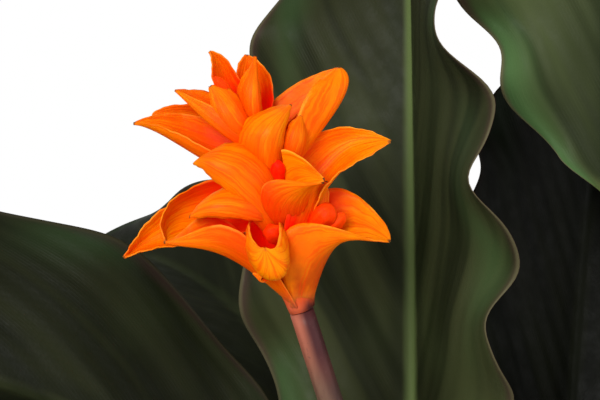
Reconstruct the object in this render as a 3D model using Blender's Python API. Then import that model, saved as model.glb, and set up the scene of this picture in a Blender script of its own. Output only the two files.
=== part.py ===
"""A potted Calathea crocata: a plain clay pot of soil, wavy dark leaves and one orange flower head.

Metres, +Z up. The origin is the middle of the pot's flat underside, and the flower head leans to -X and
stands in front of the tall leaves, towards -Y.
"""

import math

import bmesh
import bpy
import numpy as np

MM = 0.001
TOUCH_GAP = 0.3 * MM

# Pot: a plain tapered clay pot with a rim band and four drain holes.
POT_HEIGHT = 110 * MM
POT_BASE_RADIUS = 43 * MM
POT_TOP_RADIUS = 58 * MM
POT_WALL = 5 * MM
POT_FLOOR = 6 * MM
RIM_HEIGHT = 24 * MM
RIM_STEP = 4.5 * MM
RIM_ROUND = 1.6 * MM
RIM_SLOPE = 1.4 * MM
RIM_DROP = 4.8 * MM
FOOT_BEVEL = 2 * MM
DRAIN_RADIUS = 5 * MM
DRAIN_CIRCLE = 25 * MM
DRAIN_COUNT = 4
DRAIN_SIDES = 12
OVERCUT = 2 * MM
POT_SIDES = 32

# Soil: fills the pot to a little under the rim.
SOIL_TOP = 97 * MM
SOIL_MOUND = 2.5 * MM
SOIL_BUMP = 0.9 * MM
BUMP_LENGTHS = (6.1 * MM, 5.3 * MM, 8.7 * MM)
BUMP_SLANT = 1.7
SLANT_SHARE = 0.6
BUMP_EDGE = 4
SOIL_RINGS = 5
RING_CROWDING = 1.2
HOLE_DEPTH = 22 * MM
HOLE_SIDES = 8
HOLE_CLEARANCE = 2 * TOUCH_GAP

# Leaf build: thickness, the blade's stations and the petiole's, and points across each face.
LEAF_THICKNESS = 0.7 * MM
LEAF_STEP = 8.8 * MM
PETIOLE_STATIONS = 6
LEAF_ACROSS = 5
PETIOLE_RADIUS = 2.6 * MM
PETIOLE_TOP_RADIUS = 1.7 * MM
RIB_DEPTH = 1.1 * MM
BASE_BLEND = 14 * MM
STRAIGHT_FOOT = 20 * MM
FINE_POINTS = 400

# Blade shape: how full the outline is, and how much the last stretch before the tip is drawn in; how far each
# half arches, how far in the margin's waves reach, how they fade at both ends and swing in and out, how far
# the left half's waves lag behind the right half's, in radians, and how the bend grows along the blade.
OUTLINE_FULLNESS = 0.7
TIP_START = 0.72
TIP_DRAW = 0.3
ARCH = 0.16
WAVE_REACH = 3.2
WAVE_EASE = 0.6
SCALLOP = 0.4
SIDE_LAG = 1.9
RIB_TAPER = 0.75
LEAN_GROWTH = 1.1

# Each leaf: root is where it leaves the soil (x, y in mm), azimuth is the way it leans (degrees from +X),
# petiole and blade are its lengths and half is the blade's half-width, in mm. lean is its angle from upright
# at the soil, at the blade's base and at its tip. roll turns the blade about its midrib, twist adds to that
# towards the tip, and fold raises both halves. wave is the margin's height in mm, its count and its phase, and
# scallop the share of that height that the margin swings in and out, where it isn't the usual one.
LEAVES = {
    "leaf_center": dict(root=(-16.4, 13), azimuth=92, petiole=95, blade=215, half=45.5, lean=(2, 3, 12),
                        roll=-30, twist=-56, fold=30, wave=(5.0, 6.4, 311)),
    "leaf_tall_right": dict(root=(31, 6), azimuth=80, petiole=193, blade=188, half=45, lean=(2, 5, 9),
                            roll=-8, twist=0, fold=14, wave=(4.6, 7.3, 326), scallop=0.8),
    "leaf_back_right": dict(root=(20, 26), azimuth=71, petiole=92, blade=172, half=40, lean=(3, 12, 32),
                            roll=30, twist=0, fold=16, wave=(4.0, 4.5, 250)),
    "leaf_left": dict(root=(-15, 1), azimuth=183, petiole=110, blade=185, half=44, lean=(2, 34, 122),
                      roll=-42, twist=0, fold=20, wave=(3.5, 4.2, 60)),
    "leaf_back_left": dict(root=(-3, 30), azimuth=131, petiole=124, blade=150, half=36, lean=(3, 38, 105),
                           roll=-30, twist=0, fold=18, wave=(3.5, 4.0, 0)),
    "leaf_back": dict(root=(10, 41), azimuth=72, petiole=104, blade=158, half=37, lean=(7, 32, 76),
                      roll=8, twist=0, fold=22, wave=(3.5, 4.4, 120)),
    "leaf_right_back": dict(root=(34, 18), azimuth=28, petiole=112, blade=160, half=37, lean=(5, 30, 84),
                            roll=-10, twist=0, fold=22, wave=(3.5, 4.2, 40)),
    "leaf_far_left": dict(root=(-32, 20), azimuth=158, petiole=66, blade=142, half=34, lean=(8, 48, 112),
                          roll=6, twist=0, fold=22, wave=(3.2, 3.8, 200)),
    "leaf_right": dict(root=(38, -6), azimuth=348, petiole=70, blade=150, half=36, lean=(6, 44, 104),
                       roll=-6, twist=0, fold=22, wave=(3.2, 4.0, 310)),
    "leaf_front_right": dict(root=(20, -28), azimuth=306, petiole=62, blade=145, half=35,
                             lean=(8, 46, 108), roll=8, twist=0, fold=22, wave=(3.2, 3.9, 80)),
    "leaf_inner_right": dict(root=(14, -12), azimuth=318, petiole=74, blade=130, half=31,
                             lean=(3, 22, 66), roll=-8, twist=0, fold=24, wave=(3.0, 3.8, 230)),
    "leaf_inner_left": dict(root=(-28, -6), azimuth=201, petiole=64, blade=136, half=32,
                            lean=(6, 38, 96), roll=4, twist=0, fold=24, wave=(3.0, 3.8, 270)),
    "leaf_front": dict(root=(-3, -38), azimuth=266, petiole=52, blade=132, half=32, lean=(8, 50, 112),
                       roll=-6, twist=0, fold=22, wave=(3.0, 3.6, 160)),
    "leaf_front_left": dict(root=(-32, -18), azimuth=216, petiole=60, blade=142, half=34,
                            lean=(8, 48, 110), roll=6, twist=0, fold=22, wave=(3.2, 3.8, 20)),
}

# Flower stem, and the head's place and tilt.
STEM_ROOT = (-8, -20)
STEM_RADIUS = 2.9 * MM
STEM_TOP_RADIUS = 2.5 * MM
STEM_SIDES = 10
STEM_STATIONS = 12
STEM_LOW_HANDLE = 0.35
STEM_TOP_HANDLE = 0.5
HEAD_BASE = (-44.6, -47.4, 277.0)
HEAD_LEAN = 6.0

# Bract build: stations along and points across, more of both for the cupped and the long ones.
BRACT_THICKNESS = 0.8 * MM
CUPPED_GRID = (7, 7)
LONG_GRID = (7, 5)
SHORT_GRID = (5, 5)
LONG_LENGTH = 22
BRACT_BASE = 0.4
BRACT_CURVE = 65
TIP_HALF = 0.3

# Core and buds: shares of their lengths, and the radius there, in mm for the core and as a share for a bud.
CORE_SIDES = 10
CORE_RINGS = 8
CORE_FOOT = 0.008
CORE_SHARES = (0, 0.1, 0.25, 0.6, 0.85, 1)
CORE_RADII = (2.5, 2.9, 4.2, 4.2, 3.0, 1.2)
BUD_SIDES = 6
BUD_SHARES = (0, 0.4, 0.6, 0.8, 0.93, 1)
BUD_FULLNESS = (0.45, 0.6, 0.9, 1, 0.75, 0.25)

# The head's own frame is in mm: right, up, and towards the viewer. Its axis goes through these points.
HEAD_AXIS = [(0, 0, 0), (-3.5, 13, 1), (-7.5, 30, 1.5), (-11, 44, 1)]

# Each bract is a boat: its keel, its left and its right margin each pass two points between the root on the
# axis and the tip, and a margin may have a point of its own at the root, before those. base is the share of
# its first width at the root, and curve is how many degrees of arc each half takes from keel to margin,
# where they aren't the usual ones.
BRACTS = {
    "front_cup": dict(root=(-2, 6, 1), keel=[(-6.2, 7.8, 8), (-5.6, 7.4, 13.5)],
                      left=[(-10.2, 18.6, 5.5), (-10.1, 16, 13.5)], right=[(-4.4, 19, 5.5), (-4.6, 15.6, 13.5)],
                      tip=(-7.4, 13.6, 16.5), base=0.5, curve=132),
    "right_boat": dict(root=(1.2, 1, 0), keel=[(4.2, 9.5, 3), (9, 15.3, 3.5)],
                       left=[(-2.2, 0.9, 2.7), (-2.5, 17.5, 8), (8.5, 17, 7)],
                       right=[(2.3, 1.3, -2.3), (4, 24.5, -3), (13.5, 22.5, -2)],
                       tip=(18, 14.5, 3), curve=75),
    "left_low": dict(root=(-1, 3, 0), keel=[(-18, 15.5, -8), (-30.5, 15, -9)],
                     left=[(-15, 12, -3), (-28.5, 13.4, -4)], right=[(-21.5, 22, -6), (-32, 19, -6)],
                     tip=(-37.5, 11, -6)),
    "left_broad": dict(root=(-6, 25, 0), keel=[(-15, 21, -5), (-25, 19, -4)],
                       left=[(-12, 16.5, 3), (-22, 14.5, 4)], right=[(-17.5, 27.6, -1), (-26.8, 23, 1)],
                       tip=(-27.8, 14.5, 4), base=0.6),
    "left_cup": dict(root=(-1.5, 1, 0.5), keel=[(-13, 10.5, 5), (-20.5, 13.5, 8)],
                     left=[(-1, 1, 3.1), (-12, 16.5, 12), (-20, 17.5, 11)],
                     right=[(-2.4, 1.3, -2.2), (-15.5, 19, 3), (-22.5, 18.5, 6)],
                     tip=(-28, 14.5, 7), curve=80),
    "front_curl": dict(root=(-5.6, 9.5, 7), keel=[(-7.4, 7.8, 10), (-8.9, 7.6, 11)],
                       left=[(-6.7, 6.9, 9.8), (-8.1, 6.8, 11.3)], right=[(-7.6, 9, 9.8), (-9.7, 8.6, 10.9)],
                       tip=(-8, 8, 12)),
    "hood_low": dict(root=(-3, 18, 2), keel=[(-8, 21.2, 8.5), (-15.5, 23, 11)],
                     left=[(-0.5, 20, 4), (-5, 25.5, 6), (-14, 26.2, 6)],
                     right=[(-6, 19, 5), (-10.5, 19.2, 9), (-17, 19.6, 10)], tip=(-22.6, 19.7, 8)),
    "center_cup": dict(root=(-2, 16.5, 3), keel=[(-2.5, 21.2, 9), (0, 24.8, 10.5)],
                       left=[(-6.5, 18, 6), (-7.5, 26.3, 12.5), (-2, 27, 13)],
                       right=[(1.5, 17, 2), (1.5, 24.5, 5), (3, 27, 7.5)], tip=(4.2, 26.6, 11), curve=80),
    "center_flap": dict(root=(-3, 25.5, 4.5), keel=[(-0.5, 27.5, 7), (2, 27.8, 9)],
                        left=[(-4.2, 33.2, 9), (-1.6, 32.6, 9), (1.6, 30.3, 9.5)],
                        right=[(-3, 24.5, 9), (-0.4, 25.6, 10.5), (2.2, 26.2, 11)], tip=(4.4, 27.2, 11)),
    "hood_left": dict(root=(-4, 14, 2), keel=[(-8.5, 25.5, 10), (-16, 31, 11.5)],
                      left=[(-4, 18, 3), (-7.8, 32.4, 5), (-14.6, 34.8, 5)],
                      right=[(-8, 16, 4), (-11, 20.5, 7.5), (-18, 27.5, 9)], tip=(-21.8, 30.5, 8)),
    "right": dict(root=(-2, 17, 0), keel=[(4.5, 28, -2), (10.5, 33.5, -1)],
                  left=[(1.5, 15, 3), (4.5, 25.5, 5), (10.3, 30.3, 4)],
                  right=[(-6, 21, 0), (2, 36, 0), (11.7, 38, 0)], tip=(18.2, 35.2, 2)),
    "upper_right": dict(root=(-4, 27, -1), keel=[(2.6, 36.4, 0), (8.6, 44.8, 0.5)],
                        left=[(-5, 28, 4), (-0.6, 41, 5), (2.6, 46.8, 3.5)],
                        right=[(-10, 31, -3), (-6.5, 43.3, -4), (2.6, 49.3, -3.5)], tip=(7.7, 50.5, -1)),
    "small_bud_leaf": dict(root=(-5, 26, 2), keel=[(-1.6, 33.5, 7), (-0.6, 37.5, 7)],
                           left=[(-3.7, 35, 6), (-2.6, 38.5, 6)], right=[(0.6, 33, 4), (0.7, 37.5, 4)],
                           tip=(-0.2, 40.2, 5)),
    "center_up": dict(root=(-7, 26, 2), keel=[(-8, 34, 10), (-5.5, 38.8, 10)],
                      left=[(-13.4, 36.8, 5), (-8.4, 41.3, 5)], right=[(-4, 33.5, 6), (-3, 39, 6)],
                      tip=(-2.3, 42.4, 6), base=0.7),
    "neck": dict(root=(-0.5, 9, 1), keel=[(1.5, 16, 3), (3, 22, 3)],
                 left=[(-3, 10, 5), (-3.5, 18, 8), (-1, 24, 8.5)], right=[(2.5, 9, 0), (5, 17, 0), (5.5, 23, 1)],
                 tip=(5, 27, 2)),
    "back_wall": dict(root=(-2, 8, -1), keel=[(-3.5, 14, -3), (-4.5, 20, -4)],
                      left=[(-9, 15, 0), (-11, 21, 0)], right=[(2.5, 15, 0), (2.5, 21, 0)],
                      tip=(-5, 26, -4)),
    "left_mid": dict(root=(-7, 29, 0), keel=[(-17.5, 31, -1), (-26.8, 36, 0)],
                     left=[(-8, 26, 4), (-18, 32.8, 7), (-27.3, 37.6, 6)],
                     right=[(-8, 35, -1), (-18.5, 39.8, -3), (-27.4, 41.2, -2)], tip=(-34.6, 38.8, 2), curve=75),
    "left_mid_back": dict(root=(-8, 31, -1), keel=[(-17, 38, -6), (-25, 41, -5)],
                          left=[(-17.5, 36, -4.5), (-26, 39.6, -4)],
                          right=[(-9, 38, -2), (-18.5, 42.9, -4), (-28.4, 42.6, -3.5)], tip=(-30.5, 40, -3)),
    "left_point": dict(root=(-8, 32, 1), keel=[(-15, 36, 5), (-21, 41, 4.5)],
                       left=[(-14.5, 40, 7), (-20, 43, 6)], right=[(-13.5, 43, 0), (-20.5, 45.8, 0)],
                       tip=(-26, 45.6, 3)),
    "left_curl": dict(root=(-8.5, 33, 2), keel=[(-13.6, 38.8, 7.5), (-16, 42.8, 7.5)],
                      left=[(-16.4, 38, 4.5), (-18.6, 43, 6)], right=[(-11.3, 41.5, 4), (-14.6, 45.8, 5)],
                      tip=(-18.7, 46.2, 6), base=0.6),
    "crown_left": dict(root=(-10.5, 39.5, 1), keel=[(-14.5, 44.6, -2), (-16.8, 49.6, -1)],
                       left=[(-17.6, 46, 3), (-18.5, 50.6, 3)], right=[(-12, 46.2, 1), (-15.2, 51.6, 1)],
                       tip=(-19, 53.6, 2)),
    "crown_front": dict(root=(-9, 36, 1), keel=[(-10.4, 42.5, 6.5), (-10, 48, 6)],
                        left=[(-13.3, 45, 3), (-11.7, 49, 4)], right=[(-8.2, 42, 4), (-9, 47.5, 4.5)],
                        tip=(-9.6, 52.5, 4)),
    "crown_back": dict(root=(-9.5, 37, -0.5), keel=[(-10, 43.5, -5), (-10.3, 49, -4)],
                       left=[(-13.5, 46, -1), (-13.2, 51, -1)], right=[(-6, 44.5, -1), (-7.2, 49.8, -1)],
                       tip=(-11.6, 53.4, -3)),
}

# Bracts of the side away from the photograph, in tiers: height on the axis, bearings in degrees from the
# viewer's right, length and half-width in mm. Their keels follow one path: shares of the length, and climb.
BACK_TIERS = [(10, (226, 262, 296), 20, 7), (22, (232, 266, 300), 18, 6.5), (33, (244, 288), 14, 5.5)]
BACK_PATH = [(0, 0), (0.38, 3), (0.72, 5), (1, 6)]
BACK_RISE = 3.5

# Buds in the throats: a point on the axis, the bud's tip, and its radius, in mm.
BUDS = {
    "front_bud": dict(foot=(-1.5, 14, 1), tip=(-6.9, 17, 11), radius=2.0),
    "right_bud": dict(foot=(-0.5, 14, 1), tip=(6.2, 22, 6), radius=2.4),
    "right_bud_small": dict(foot=(0, 12, 1), tip=(8.9, 20.4, 4.5), radius=1.6),
    "middle_bud": dict(foot=(-5, 23, 2), tip=(-4.9, 31.2, 7.5), radius=1.5),
    "crown_bud": dict(foot=(-11, 40, 2), tip=(-17.8, 48.2, 6), radius=1.2),
}


def unit(v):
    """The vectors in v, each made one long."""
    v = np.asarray(v, float)
    return v / np.linalg.norm(v, axis=-1, keepdims=True)


def smooth(x):
    """0 before 0, 1 after 1, and an easy curve between."""
    x = np.clip(x, 0, 1)
    return x * x * (3 - 2 * x)


def through(points, t):
    """The cubic curve that passes through four points at t of 0, 1/3, 2/3 and 1."""
    fit = np.polyfit(np.linspace(0, 1, 4), np.asarray(points, float), 3)
    return np.stack([np.polyval(fit[:, k], t) for k in range(3)], axis=-1)


def shell_mesh(name, top, bottom):
    """A closed mesh between two grids of points, with both faces split into triangles alike."""
    rows, columns = top.shape[:2]
    mesh = bpy.data.meshes.new(name)
    build = bmesh.new()
    upper = [[build.verts.new(p) for p in row] for row in top]
    lower = [[build.verts.new(p) for p in row] for row in bottom]
    for i in range(rows - 1):
        for k in range(columns - 1):
            for grid in (upper, lower):
                a, b = grid[i][k], grid[i + 1][k]
                c, d = grid[i + 1][k + 1], grid[i][k + 1]
                build.faces.new((a, b, c))
                build.faces.new((a, c, d))
    for k in (0, columns - 1):
        for i in range(rows - 1):
            build.faces.new((upper[i][k], upper[i + 1][k], lower[i + 1][k]))
            build.faces.new((upper[i][k], lower[i + 1][k], lower[i][k]))
    for i in (0, rows - 1):
        for k in range(columns - 1):
            build.faces.new((upper[i][k], upper[i][k + 1], lower[i][k + 1]))
            build.faces.new((upper[i][k], lower[i][k + 1], lower[i][k]))
    bmesh.ops.recalc_face_normals(build, faces=build.faces)
    build.to_mesh(mesh)
    build.free()
    return mesh


def add(name, mesh, material):
    """An object with this mesh and material, in the scene."""
    obj = bpy.data.objects.new(name, mesh)
    bpy.context.scene.collection.objects.link(obj)
    mesh.materials.clear()
    mesh.materials.append(material)
    return obj


def material(name, colour, roughness):
    """A plain material with this colour and roughness."""
    made = bpy.data.materials.new(name)
    made.use_nodes = True
    shader = made.node_tree.nodes["Principled BSDF"]
    shader.inputs["Base Color"].default_value = (*colour, 1)
    shader.inputs["Roughness"].default_value = roughness
    shader.inputs["Metallic"].default_value = 0
    return made


def turned(name, profile, sides):
    """A profile of (radius, height) points turned about Z; a point of no radius closes it."""
    build = bmesh.new()
    line = [build.verts.new((r, 0, z)) for r, z in profile]
    for a, b in zip(line, line[1:]):
        build.edges.new((a, b))
    bmesh.ops.spin(build, geom=build.verts[:] + build.edges[:], cent=(0, 0, 0), axis=(0, 0, 1),
                   angle=2 * math.pi, steps=sides, use_merge=True)
    bmesh.ops.remove_doubles(build, verts=build.verts, dist=0.01 * MM)
    bmesh.ops.recalc_face_normals(build, faces=build.faces)
    mesh = bpy.data.meshes.new(name)
    build.to_mesh(mesh)
    build.free()
    return mesh


def cylinder_mesh(name, centre, radius, low, high, sides):
    """An upright cylinder between two heights."""
    build = bmesh.new()
    bmesh.ops.create_cone(build, cap_ends=True, segments=sides, radius1=radius, radius2=radius,
                          depth=high - low)
    bmesh.ops.translate(build, verts=build.verts, vec=(centre[0], centre[1], (low + high) / 2))
    mesh = bpy.data.meshes.new(name)
    build.to_mesh(mesh)
    build.free()
    return mesh


def cut(obj, cutters, clay):
    """Cuts each mesh in cutters out of obj, with one Boolean on a collection."""
    tools = bpy.data.collections.new(obj.name + "_cutters")
    bpy.context.scene.collection.children.link(tools)
    for mesh in cutters:
        tool = bpy.data.objects.new(mesh.name, mesh)
        mesh.materials.append(clay)
        tool.hide_render = True
        tool.display_type = "WIRE"
        tools.objects.link(tool)
    boolean = obj.modifiers.new("holes", "BOOLEAN")
    boolean.operation = "DIFFERENCE"
    boolean.operand_type = "COLLECTION"
    boolean.collection = tools
    boolean.solver = "EXACT"


def outer_radius(z):
    """The pot's outer radius under its rim band at a height."""
    return POT_BASE_RADIUS + (POT_TOP_RADIUS - POT_BASE_RADIUS) * z / POT_HEIGHT


def make_pot(clay):
    """The pot, turned from its profile, with its drain holes cut."""
    rim_low = POT_HEIGHT - RIM_HEIGHT
    rim_radius = outer_radius(POT_HEIGHT) + RIM_STEP
    inside_top = outer_radius(POT_HEIGHT) - POT_WALL
    inside_base = outer_radius(POT_FLOOR) - POT_WALL
    profile = [
        (0, 0),
        (POT_BASE_RADIUS - FOOT_BEVEL, 0),
        (POT_BASE_RADIUS, FOOT_BEVEL),
        (outer_radius(rim_low), rim_low),
        (rim_radius - RIM_SLOPE, rim_low + RIM_ROUND),
        (rim_radius, rim_low + RIM_DROP),
        (rim_radius + RIM_ROUND / 2, POT_HEIGHT - RIM_ROUND),
        (rim_radius - RIM_ROUND, POT_HEIGHT),
        (inside_top + RIM_ROUND, POT_HEIGHT),
        (inside_top, POT_HEIGHT - RIM_ROUND),
        (inside_base, POT_FLOOR),
        (0, POT_FLOOR),
    ]
    pot = add("pot", turned("pot", profile, POT_SIDES), clay)
    drains = []
    for n in range(DRAIN_COUNT):
        angle = 2 * math.pi * (n + 0.5) / DRAIN_COUNT
        centre = (DRAIN_CIRCLE * math.cos(angle), DRAIN_CIRCLE * math.sin(angle))
        drains.append(cylinder_mesh(f"drain_{n}", centre, DRAIN_RADIUS, -OVERCUT, POT_FLOOR + OVERCUT,
                                    DRAIN_SIDES))
    cut(pot, drains, clay)
    pot.data.shade_smooth()
    return pot


def soil_height(x, y):
    """The soil's surface: a low mound with small lumps."""
    along_x, along_y, slanting = BUMP_LENGTHS
    lumps = np.sin(x / along_x) * np.cos(y / along_y)
    lumps = lumps + SLANT_SHARE * np.sin((x + BUMP_SLANT * y) / slanting)
    inside = outer_radius(SOIL_TOP) - POT_WALL
    mound = 1 - (x * x + y * y) / inside ** 2
    return SOIL_TOP + SOIL_MOUND * mound + SOIL_BUMP * lumps * np.clip(mound * BUMP_EDGE, 0, 1)


def make_soil(earth, stands):
    """The soil, with a plain hole for each stem that stands in it."""
    top_radius = outer_radius(SOIL_TOP) - POT_WALL - TOUCH_GAP
    base_radius = outer_radius(POT_FLOOR) - POT_WALL - TOUCH_GAP
    radii = [top_radius * (1 - (n / SOIL_RINGS) ** RING_CROWDING) for n in range(SOIL_RINGS)]
    profile = [(0, POT_FLOOR + TOUCH_GAP), (base_radius, POT_FLOOR + TOUCH_GAP)]
    profile += [(r, SOIL_TOP) for r in radii] + [(0, SOIL_TOP)]
    mesh = turned("soil", profile, POT_SIDES)
    for v in mesh.vertices:
        if v.co.z > SOIL_TOP - MM:
            v.co.z = soil_height(v.co.x, v.co.y)
    soil = add("soil", mesh, earth)
    hole_floor = SOIL_TOP - HOLE_DEPTH - TOUCH_GAP
    hole_top = SOIL_TOP + SOIL_MOUND + SOIL_BUMP + OVERCUT
    holes = [
        cylinder_mesh(f"hole_{n}", (x, y), radius + HOLE_CLEARANCE, hole_floor, hole_top, HOLE_SIDES)
        for n, (x, y, radius) in enumerate(stands)
    ]
    cut(soil, holes, earth)
    return soil


def leaf_spine(leaf, lengths):
    """Where the leaf's midline is at each length from its lower end, with its across and inner directions."""
    sink, petiole, blade = HOLE_DEPTH, leaf["petiole"] * MM, leaf["blade"] * MM
    total = sink + petiole + blade
    fine = np.linspace(0, total, FINE_POINTS)
    along_petiole = (fine - sink) / petiole
    along_blade = (fine - sink - petiole) / blade
    low, base, tip = np.radians(leaf["lean"])
    lean = low * smooth((fine - sink) / STRAIGHT_FOOT)
    lean = lean + (base - low) * smooth(along_petiole)
    lean = lean + (tip - base) * np.clip(along_blade, 0, 1) ** LEAN_GROWTH
    heading = math.radians(leaf["azimuth"])
    out = np.array([math.cos(heading), math.sin(heading), 0])
    up = np.array([0, 0, 1.0])
    tangent = np.outer(np.sin(lean), out) + np.outer(np.cos(lean), up)
    step = np.diff(fine)[:, None] * (tangent[1:] + tangent[:-1]) / 2
    start = np.array([leaf["root"][0] * MM, leaf["root"][1] * MM, SOIL_TOP - HOLE_DEPTH])
    place = start + np.vstack([np.zeros(3), np.cumsum(step, axis=0)])
    inner = np.outer(np.sin(lean), up) - np.outer(np.cos(lean), out)
    across = np.cross(inner, tangent)
    roll = math.radians(leaf["roll"]) * smooth((fine - sink) / petiole)
    roll = roll + math.radians(leaf["twist"]) * np.clip(along_blade, 0, 1) ** 2
    turned_across = across * np.cos(roll)[:, None] + inner * np.sin(roll)[:, None]
    turned_inner = inner * np.cos(roll)[:, None] - across * np.sin(roll)[:, None]
    pick = [np.stack([np.interp(lengths, fine, a[:, k]) for k in range(3)], -1)
            for a in (place, turned_across, turned_inner)]
    return pick[0], unit(pick[1]), unit(pick[2])


def blade_outline(t):
    """Half-width of a blade at t, as a share of its widest: round at the base, pointed at the tip."""
    body = np.sin(math.pi * np.clip(t, 0, 1)) ** OUTLINE_FULLNESS
    return body * (1 - TIP_DRAW * smooth((t - TIP_START) / (1 - TIP_START)))


def blade_section(leaf, t, s):
    """How far the blade's surface lies across and above its midrib, at t along and s from -1 to 1 across."""
    half = np.maximum(leaf["half"] * MM * blade_outline(t), 0.5 * MM)
    fold = math.radians(leaf["fold"])
    height, count, phase = leaf["wave"]
    reach = np.abs(s)
    turn = 2 * math.pi * count * t + math.radians(phase) + np.where(s < 0, SIDE_LAG, 0)
    swell = height * MM * reach ** WAVE_REACH * np.sin(math.pi * np.clip(t, 0, 1)) ** WAVE_EASE
    rise = swell * np.sin(turn) + ARCH * half * reach * (1 - reach)
    reach_out = half * reach + leaf.get("scallop", SCALLOP) * swell * np.cos(turn)
    across = np.sign(s) * (reach_out * math.cos(fold) - rise * math.sin(fold))
    return across, reach_out * math.sin(fold) + rise * math.cos(fold)


def leaf_grids(leaf, petiole_stations, step, across, thickness):
    """The leaf's inner and outer faces, from its foot in the soil to its tip, as grids of points."""
    sink, petiole, blade = HOLE_DEPTH, leaf["petiole"] * MM, leaf["blade"] * MM
    even = np.linspace(0, 1, round(blade / step) + 1)
    crowded_ends = (1 - np.cos(math.pi * even)) / 2
    blade_t = ((even + crowded_ends) / 2)[1:]
    foot = np.linspace(0, sink + petiole, petiole_stations)
    lengths = np.concatenate([foot, sink + petiole + blade_t * blade])
    place, side, inner = leaf_spine(leaf, lengths)
    t = np.clip((lengths - sink - petiole) / blade, 0, 1)[:, None]
    s = np.linspace(-1, 1, across)[None, :]
    lateral, lift = blade_section(leaf, t, s)
    rib = RIB_DEPTH * (1 - RIB_TAPER * t) * (np.abs(s) < 0.01)
    over = lift + thickness / 2
    under = lift - thickness / 2 - rib
    share = np.clip(lengths / (sink + petiole), 0, 1)[:, None]
    radius = PETIOLE_RADIUS + (PETIOLE_TOP_RADIUS - PETIOLE_RADIUS) * share
    angle = math.pi / 2 * (1 - s * (1 - 1 / across))
    mix = smooth((lengths - sink - petiole) / BASE_BLEND)[:, None]
    grids = []
    for rise, sign in ((over, 1), (under, -1)):
        a = (1 - mix) * radius * np.cos(angle) + mix * lateral
        b = (1 - mix) * sign * radius * np.sin(angle) + mix * rise
        grids.append(place[:, None] + side[:, None] * a[..., None] + inner[:, None] * b[..., None])
    return grids


def make_leaf(name, green):
    """One leaf: its petiole and blade in one solid."""
    grids = leaf_grids(LEAVES[name], PETIOLE_STATIONS, LEAF_STEP, LEAF_ACROSS, LEAF_THICKNESS)
    obj = add(name, shell_mesh(name, *grids), green)
    obj.data.shade_smooth()
    return obj


def head_to_world(points):
    """Points of the head's frame, in mm, as world points in metres."""
    points = np.asarray(points, float) * MM
    lean = math.radians(HEAD_LEAN)
    up = np.array([0, math.sin(lean), math.cos(lean)])
    near = np.array([0, -math.cos(lean), math.sin(lean)])
    right = np.array([1.0, 0, 0])
    return np.array(HEAD_BASE) * MM + points @ np.stack([right, up, near])


def head_axis(t):
    """Points of the head's axis, in its frame."""
    return through(HEAD_AXIS, t)


def bract_surface(bract, t, s):
    """Points on the bract's middle surface, in mm in the head's frame, at t along and s across."""
    root, tip, base = bract["root"], bract["tip"], bract.get("base", BRACT_BASE)
    keel = through([root, *bract["keel"], tip], t)
    margins = []
    for side in (bract["left"], bract["right"]):
        spread = np.subtract(side[-2:], bract["keel"])
        start = side[0] if len(side) == 3 else np.array(root) + base * spread[0]
        end = np.array(tip) + TIP_HALF * unit(spread[1])
        margins.append(through([start, *side[-2:], end], t))
    half = (margins[1] - margins[0]) / 2
    depth = (margins[1] + margins[0]) / 2 - keel
    arc = math.radians(bract.get("curve", BRACT_CURVE))
    out = (np.sin(arc * s) / math.sin(arc))[None, :, None]
    rise = ((1 - np.cos(arc * s)) / (1 - math.cos(arc)))[None, :, None]
    return keel[:, None] + half[:, None] * out + depth[:, None] * rise


def back_bracts():
    """The bracts of the far side, each rising from the axis and out along its bearing."""
    bracts = {}
    up = np.array([0, 1.0, 0])
    for height, bearings, length, half in BACK_TIERS:
        root = head_axis(height / HEAD_AXIS[-1][1])
        for bearing in bearings:
            angle = math.radians(bearing)
            out = np.array([math.cos(angle), 0, math.sin(angle)])
            side = np.cross(up, out)
            line = [root + out * length * share + up * climb for share, climb in BACK_PATH]
            left, right = ([p + sign * half * side + BACK_RISE * up for p in line[1:3]] for sign in (-1, 1))
            bracts[f"back_{height}_{bearing}"] = dict(root=line[0], keel=line[1:3], left=left, right=right,
                                                      tip=line[3])
    return bracts


def surface_normals(grid):
    """The way each point of a grid's surface looks."""
    along = np.gradient(grid, axis=0)
    across = np.gradient(grid, axis=1)
    return unit(np.cross(along, across))


def bract_grids(bract, stations, across, thickness):
    """The bract's two faces as grids of world points."""
    t = np.linspace(0, 1, stations)
    s = np.linspace(-1, 1, across)
    middle = head_to_world(bract_surface(bract, t, s))
    offset = surface_normals(middle) * thickness / 2
    return middle + offset, middle - offset


def core_line():
    """The head's slim core: points up its axis and the radius at each."""
    t = np.linspace(CORE_FOOT, 1, CORE_RINGS)
    return head_to_world(head_axis(t)), np.interp(t, CORE_SHARES, CORE_RADII) * MM


def bud_line(bud):
    """A bud: points from the axis to its tip and the radius at each, fullest near the tip."""
    foot, tip = np.array(bud["foot"], float), np.array(bud["tip"], float)
    line = foot + np.array(BUD_SHARES)[:, None] * (tip - foot)
    return head_to_world(line), bud["radius"] * MM * np.array(BUD_FULLNESS)


def tube_mesh(name, line, radii, sides):
    """A closed tube of rings along a line."""
    tangent = unit(np.gradient(line, axis=0))
    side = unit(np.cross(tangent, [0.0, 1.0, 0.0]))
    other = np.cross(tangent, side)
    angle = np.linspace(0, 2 * math.pi, sides, endpoint=False)
    build = bmesh.new()
    rings = []
    for p, r, a, b in zip(line, radii, side, other):
        points = p + r * (np.outer(np.cos(angle), a) + np.outer(np.sin(angle), b))
        rings.append([build.verts.new(q) for q in points])
    for low, high in zip(rings, rings[1:]):
        for k in range(sides):
            n = (k + 1) % sides
            build.faces.new((low[k], low[n], high[n], high[k]))
    build.faces.new(rings[0])
    build.faces.new(rings[-1])
    bmesh.ops.recalc_face_normals(build, faces=build.faces)
    mesh = bpy.data.meshes.new(name)
    build.to_mesh(mesh)
    build.free()
    return mesh


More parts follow.
